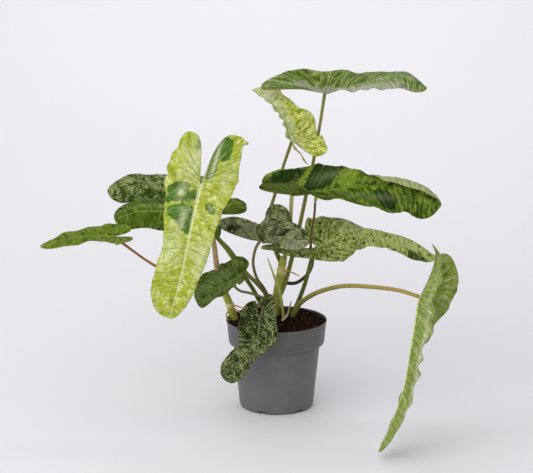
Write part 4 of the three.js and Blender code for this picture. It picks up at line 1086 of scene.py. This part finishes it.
# Leaf 9, in the centre: comes forward, grey-green and mottled, with a dark blotch by the rib and one on
# the far ear lobe. Its near half is folded up round the stalk.
grow_leaf(
    9,
    spine=[[-94, -2, 292], [-28, -30, 291], [-1, -50, 302], [25, -75, 305], [48, -97, 299]],
    width=[42, 38],
    lobe=[[0.62, 84], [0.5, 38]],
    fold=[[54, 50, 30, 58, 50, 30, 15], [10, 35, 50, 58, 68, 70, -5, -10, -20, -30, -35]],
    curl=[[-5, -5], [-10, -10]],
    wave=[[3, 3, 0.5], [2, 3, 1]],
    look=dict(
        slot="leaf_mottled", pale="#899263", green="#545d36", green_2="#5f683c", dark="#1a2608",
        pale_share=0.3, dark_share=0.18, vein="#8f9866", under="#8a8c68", painted_sheen="#9aa18b",
        marble=(0.5, 0.5, 0.5), speck=3.6, soft=0.015,
        shine=[(80, 12, 18, 14, 0.4)],
        patches=[(42, -9, 9, 7, -0.8), (-46, -19, 26, 7, -0.8)],
    ),
    stalk=(
        [
            [-15, 22, 176], [-17, 17, 188], [-23, 8, 203], [-32.5, -4, 220],
            [-39, -22, 252], [-35, -28, 277], [-28.3, -30, 290.2],
        ],
        [3.8, 2.8, 2.5, 2.4, 2.4, 2.6],
        ("#6e6238", "#7f6f4a"), "stalk_brown",
    ),
)

# Leaf 10, right: pale yellow-green with dark specks and a dark patch near the tip, arched like a roof,
# its far ear lobe standing up.
grow_leaf(
    10,
    spine=[
        [-24, -20, 297], [66, 15, 271], [96, 20, 282], [126, 22, 299],
        [173, 18, 298], [223, 10, 286], [270, 5, 256],
    ],
    width=[56, 29],
    tip=[9, 7],
    base=[BLADE_WIDTHS, [1, 1.42, 1.3, 0.94, 1.02, 1.17, 1.2]],
    lobe=[[0.25, 20], [0.95, 106]],
    blunt=2.6,
    gap=[0.35, 0.4],
    fold=[[60, 62, 45, -8, -40, -40], [-34, -30, -42, -55, -60, -50]],
    curl=[[-5, -5], [-10, -10]],
    wave=[[2, 3, 0], [4, 4, 1]],
    look=dict(
        slot="leaf_mottled", pale="#9caa5d", green="#5d6f25", green_2="#748339", dark="#32460a",
        pale_share=0.4, dark_share=0.08, vein="#aab770", under="#868f62", painted_sheen="#b9c08c",
        marble=(0.5, 0.6, 0.5), speck=3.6, soft=0.015, flecks=0.08, fleck_size=7.5, fleck="#22360a",
        shine=[(150, 7, 70, 8, 0.3)],
        patches=[
            (184, 26, 26, 11, -0.7), (150, 12, 70, 30, 0.1), (200, 10, 34, 22, 0.12),
            (60, 20, 50, 40, 0.05),
        ],
    ),
    stalk=(
        [
            [24, 44, 98], [25, 42, 140], [36, 36, 168], [48, 26, 204],
            [55, 14, 235], [59, 9, 253], [66, 14.6, 270.2],
        ],
        [4.4, 4.2, 3.8, 3.6, 3.4, 3.3],
        ("#4d6420", "#66782e"), "stalk_green",
    ),
)

# Leaf 11, far right: hangs from a long stalk down to the surface, folded like a keel, with pale veins.
grow_leaf(
    11,
    spine=[
        [240, -150, 319], [247, -151, 301], [244, -153, 279], [234, -157, 251], [226, -160, 231],
        [214, -190, 174], [198, -225, 100], [181, -245, 58], [157, -268, 13],
    ],
    junction=4,
    base=[[1, 1, 0.95, 0.92, 0.9, 0.85, 0.7], [1, 0.95, 0.8, 0.72, 0.76, 0.79, 0.8]],
    nicks=[(1, 0, -7, 12), (1, 62, 7, 9), (1, 90, -5, 6), (1, 106, 5, 6), (1, 126, 12, 7), (1, 143, -4, 6)],
    width=[55, 52],
    lobe=[[0.25, 71], [0.2, 90]],
    up=[1, -0.1, 0.1],
    tip=[4, 4],
    fold=[[56, 68, 24, -5, -9, -12], [12, 26, 36, 28, 32, 34]],
    curl=[[0, 0], [0, 0]],
    wave=[[2.5, 8, 0], [2.8, 10, 4.27]],
    look=dict(
        slot="leaf_green", pale="#adb861", green="#708832", green_2="#849643", dark="#59721a",
        pale_share=0.2, dark_share=0.08, vein="#f3f0aa", under="#7e9244", under_mix=0.5, painted_sheen="#d5d9bc",
        marble=(0.3, 0.85, 0.1), streak=0.045,
        shine=[(30, -6, 60, 4, 0.6), (90, 34, 120, 6, 0.6)],
    ),
    stalk=(
        [
            [24, 30, 98], [26, 26, 141], [30, 18, 153], [39, 4, 175], [61, -25, 199],
            [81, -45, 212.5], [111, -75, 226.5], [144, -100, 232], [194, -137, 235.2], [223.5, -159, 231.2],
        ],
        [4.6, 4.2, 3.9, 3.7, 3.5, 3.3, 3.1],
        ("#7a8436", "#a58e4c"), "stalk_olive",
    ),
)

# Leaf 12, small, in front of the pot: hangs over the rim, dark with yellow-green specks, with a waist.
grow_leaf(
    12,
    spine=[
        [-24, -88, 213], [-28, -100, 176], [-30, -108, 153],
        [-43, -112, 129], [-63, -110, 104], [-78, -108, 72],
    ],
    width=[28, 32],
    lobe=[[0.45, 44], [0.3, 30]],
    blunt=2,
    up=[0, -1, 0.25],
    tip=[6, 6],
    base=[[1, 1.1, 0.85, 0.56, 0.72, 0.8, 0.7], [1, 1.1, 0.85, 0.58, 0.7, 0.88, 0.95]],
    fold=[[10, 10], [10, 10]],
    curl=[[-12, -12], [-12, -12]],
    wave=[[2, 3, 0], [2, 3, 1]],
    look=dict(
        slot="leaf_dark", pale="#86925d", green="#3e4923", green_2="#4b552e", dark="#142403",
        pale_share=0.24, dark_share=0.5, vein="#6c7548", under="#687350", marble=(0.35, 0.5, 0.8),
        speck=2.0, shade=0.3,
        patches=[(-14, 16, 60, 26, -0.035), (10, -18, 36, 16, 0.02), (70, 0, 40, 40, 0.02)],
    ),
    stalk=(
        [
            [-19, 19, 160], [-20, 10, 172], [-24, -10, 182],
            [-31, -50, 187], [-34, -80, 184], [-28, -99.3, 176.4],
        ],
        [3.8, 3.1, 2.9, 2.7, 2.8],
        ("#55602f", "#6b7038"), "stalk_olive",
    ),
)

# Leaf 13, small and upright behind the centre leaf: dark grey-green, mottled.
grow_leaf(
    13,
    spine=[[4, -1, 276], [1, 4, 292], [-1, 12, 317], [-1, 16, 344]],
    width=[29, 27],
    nicks=[(0, 24, 11, 4)],
    lobe=[[0.5, 8], [0.5, 8]],
    up=[0, -1, 0.25],
    base=[[1, 1, 0.97, 0.93, 0.9, 0.85], [1, 1, 0.97, 0.93, 0.9, 0.85]],
    fold=[[-30, -30], [10, 10]],
    curl=[[-30, -30], [-12, -12]],
    wave=[[1, 3, 0], [1, 3, 1]],
    look=dict(
        slot="leaf_dark", pale="#929d68", green="#6d7947", green_2="#80895b", dark="#49552a",
        pale_share=0.25, dark_share=0.25, vein="#9da578", under="#687050", marble=(0.5, 0.4, 0.6),
        speck=3.6, soft=0.015,
        patches=[(14, 24, 26, 7, -0.5), (34, -18, 12, 10, -0.2)],
    ),
    stalk=(
        [[8, 30, 236], [4, 27, 248], [0, 18, 266], [1, 5, 292]],
        [3.2, 2.4, 2.2, 2.3],
        ("#6b6a38", "#6b6a38"), "stalk_olive",
    ),
)


# Youngest leaf: a thin brown stalk that rises from the middle stem, with the leaf still rolled into a
# short spear at its top. Its outer turn shows as a ridge that winds round it.
grow_stalk(
    "young_petiole",
    [
        [2, 36, 199], [6, 50, 200], [18, 53, 198.5], [32, 50, 199.5], [44, 43, 208], [56.5, 34, 225],
        [61, 25, 247], [57.5, 18, 262], [57, 12.5, 271.5], [57.5, 11, 287], [63, 12, 328], [64, 11, 348.2],
    ],
    [3.3, 3, 2.8, 2.3, 2.1, 1.9],
    ("#3f3a24", "#685a32"), "young_leaf_stalk",
)


def rolled(s, a):
    """The step of a rolled sheet: the radius grows by 0.5 mm round the spear and falls back at the turn."""
    return 0.5 * (((a + 0.25 * s) / (2 * np.pi)) % 1) - 0.25


spear = tube([[64, 11, 348.3], [64.5, 10, 353], [65, 9, 358.5]], [1.9, 2.8, 2.6, 0.8], 30, 28, rolled)
spear_skin = stalk_skin("spear_skin", "#9aa653", "#b5b45e")
piece = mesh("rolled_leaf", spear[0], spear[1][:, ::-1], spear_skin, height=spear[2])
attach(piece, "root")
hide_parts("young_leaf")


# Sheaths: the pointed green one of the next leaf, and two papery ones that spent leaves left behind.
# Each is a thin skin rolled round its own line, keeled on its back.
def keel(s, a):
    """A keel on one side and a hollow on the other: 0.45 cos(a)^9 + 0.12 cos(3 a)."""
    return 0.45 * np.cos(a) ** 9 + 0.12 * np.cos(3 * a)


SHEATHS = {
    "new_sheath": (
        [[15, 12, 118], [13, 14, 142], [6, 8, 191], [-4, 2, 224], [-15, -2, 256]],
        [2.6, 2.9, 2.7, 1.9, 0.7],
        ("#8f9a3c", "#b4bd66"), "sheath",
    ),
    "curled_sheath": (
        [[-2, 1, 134], [2, 1, 143], [9, 2, 146], [18, 4, 155], [22, 2, 168], [25, 0, 181]],
        [1.4, 2.1, 2.2, 2, 1.3, 0.4],
        ("#b8a07c", "#8c946c"), "sheath",
    ),
    "dry_sheath": (
        [[-14, 12, 134], [-13, 12, 146], [-9, 14, 158], [-7, 16, 172], [-13, 15, 186]],
        [2, 3.3, 3.6, 2.8, 1.0],
        ("#7a5a40", "#b39270"), "dry_sheath",
    ),
}
for name, (path, radii, colours, slot) in SHEATHS.items():
    body = tube(path, radii, 60, 24, keel)
    bark = stalk_skin(name + "_bark", *colours)
    piece = mesh(name + "_skin", body[0], body[1][:, ::-1], bark, height=body[2])
    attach(piece, "root")
    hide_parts(name)
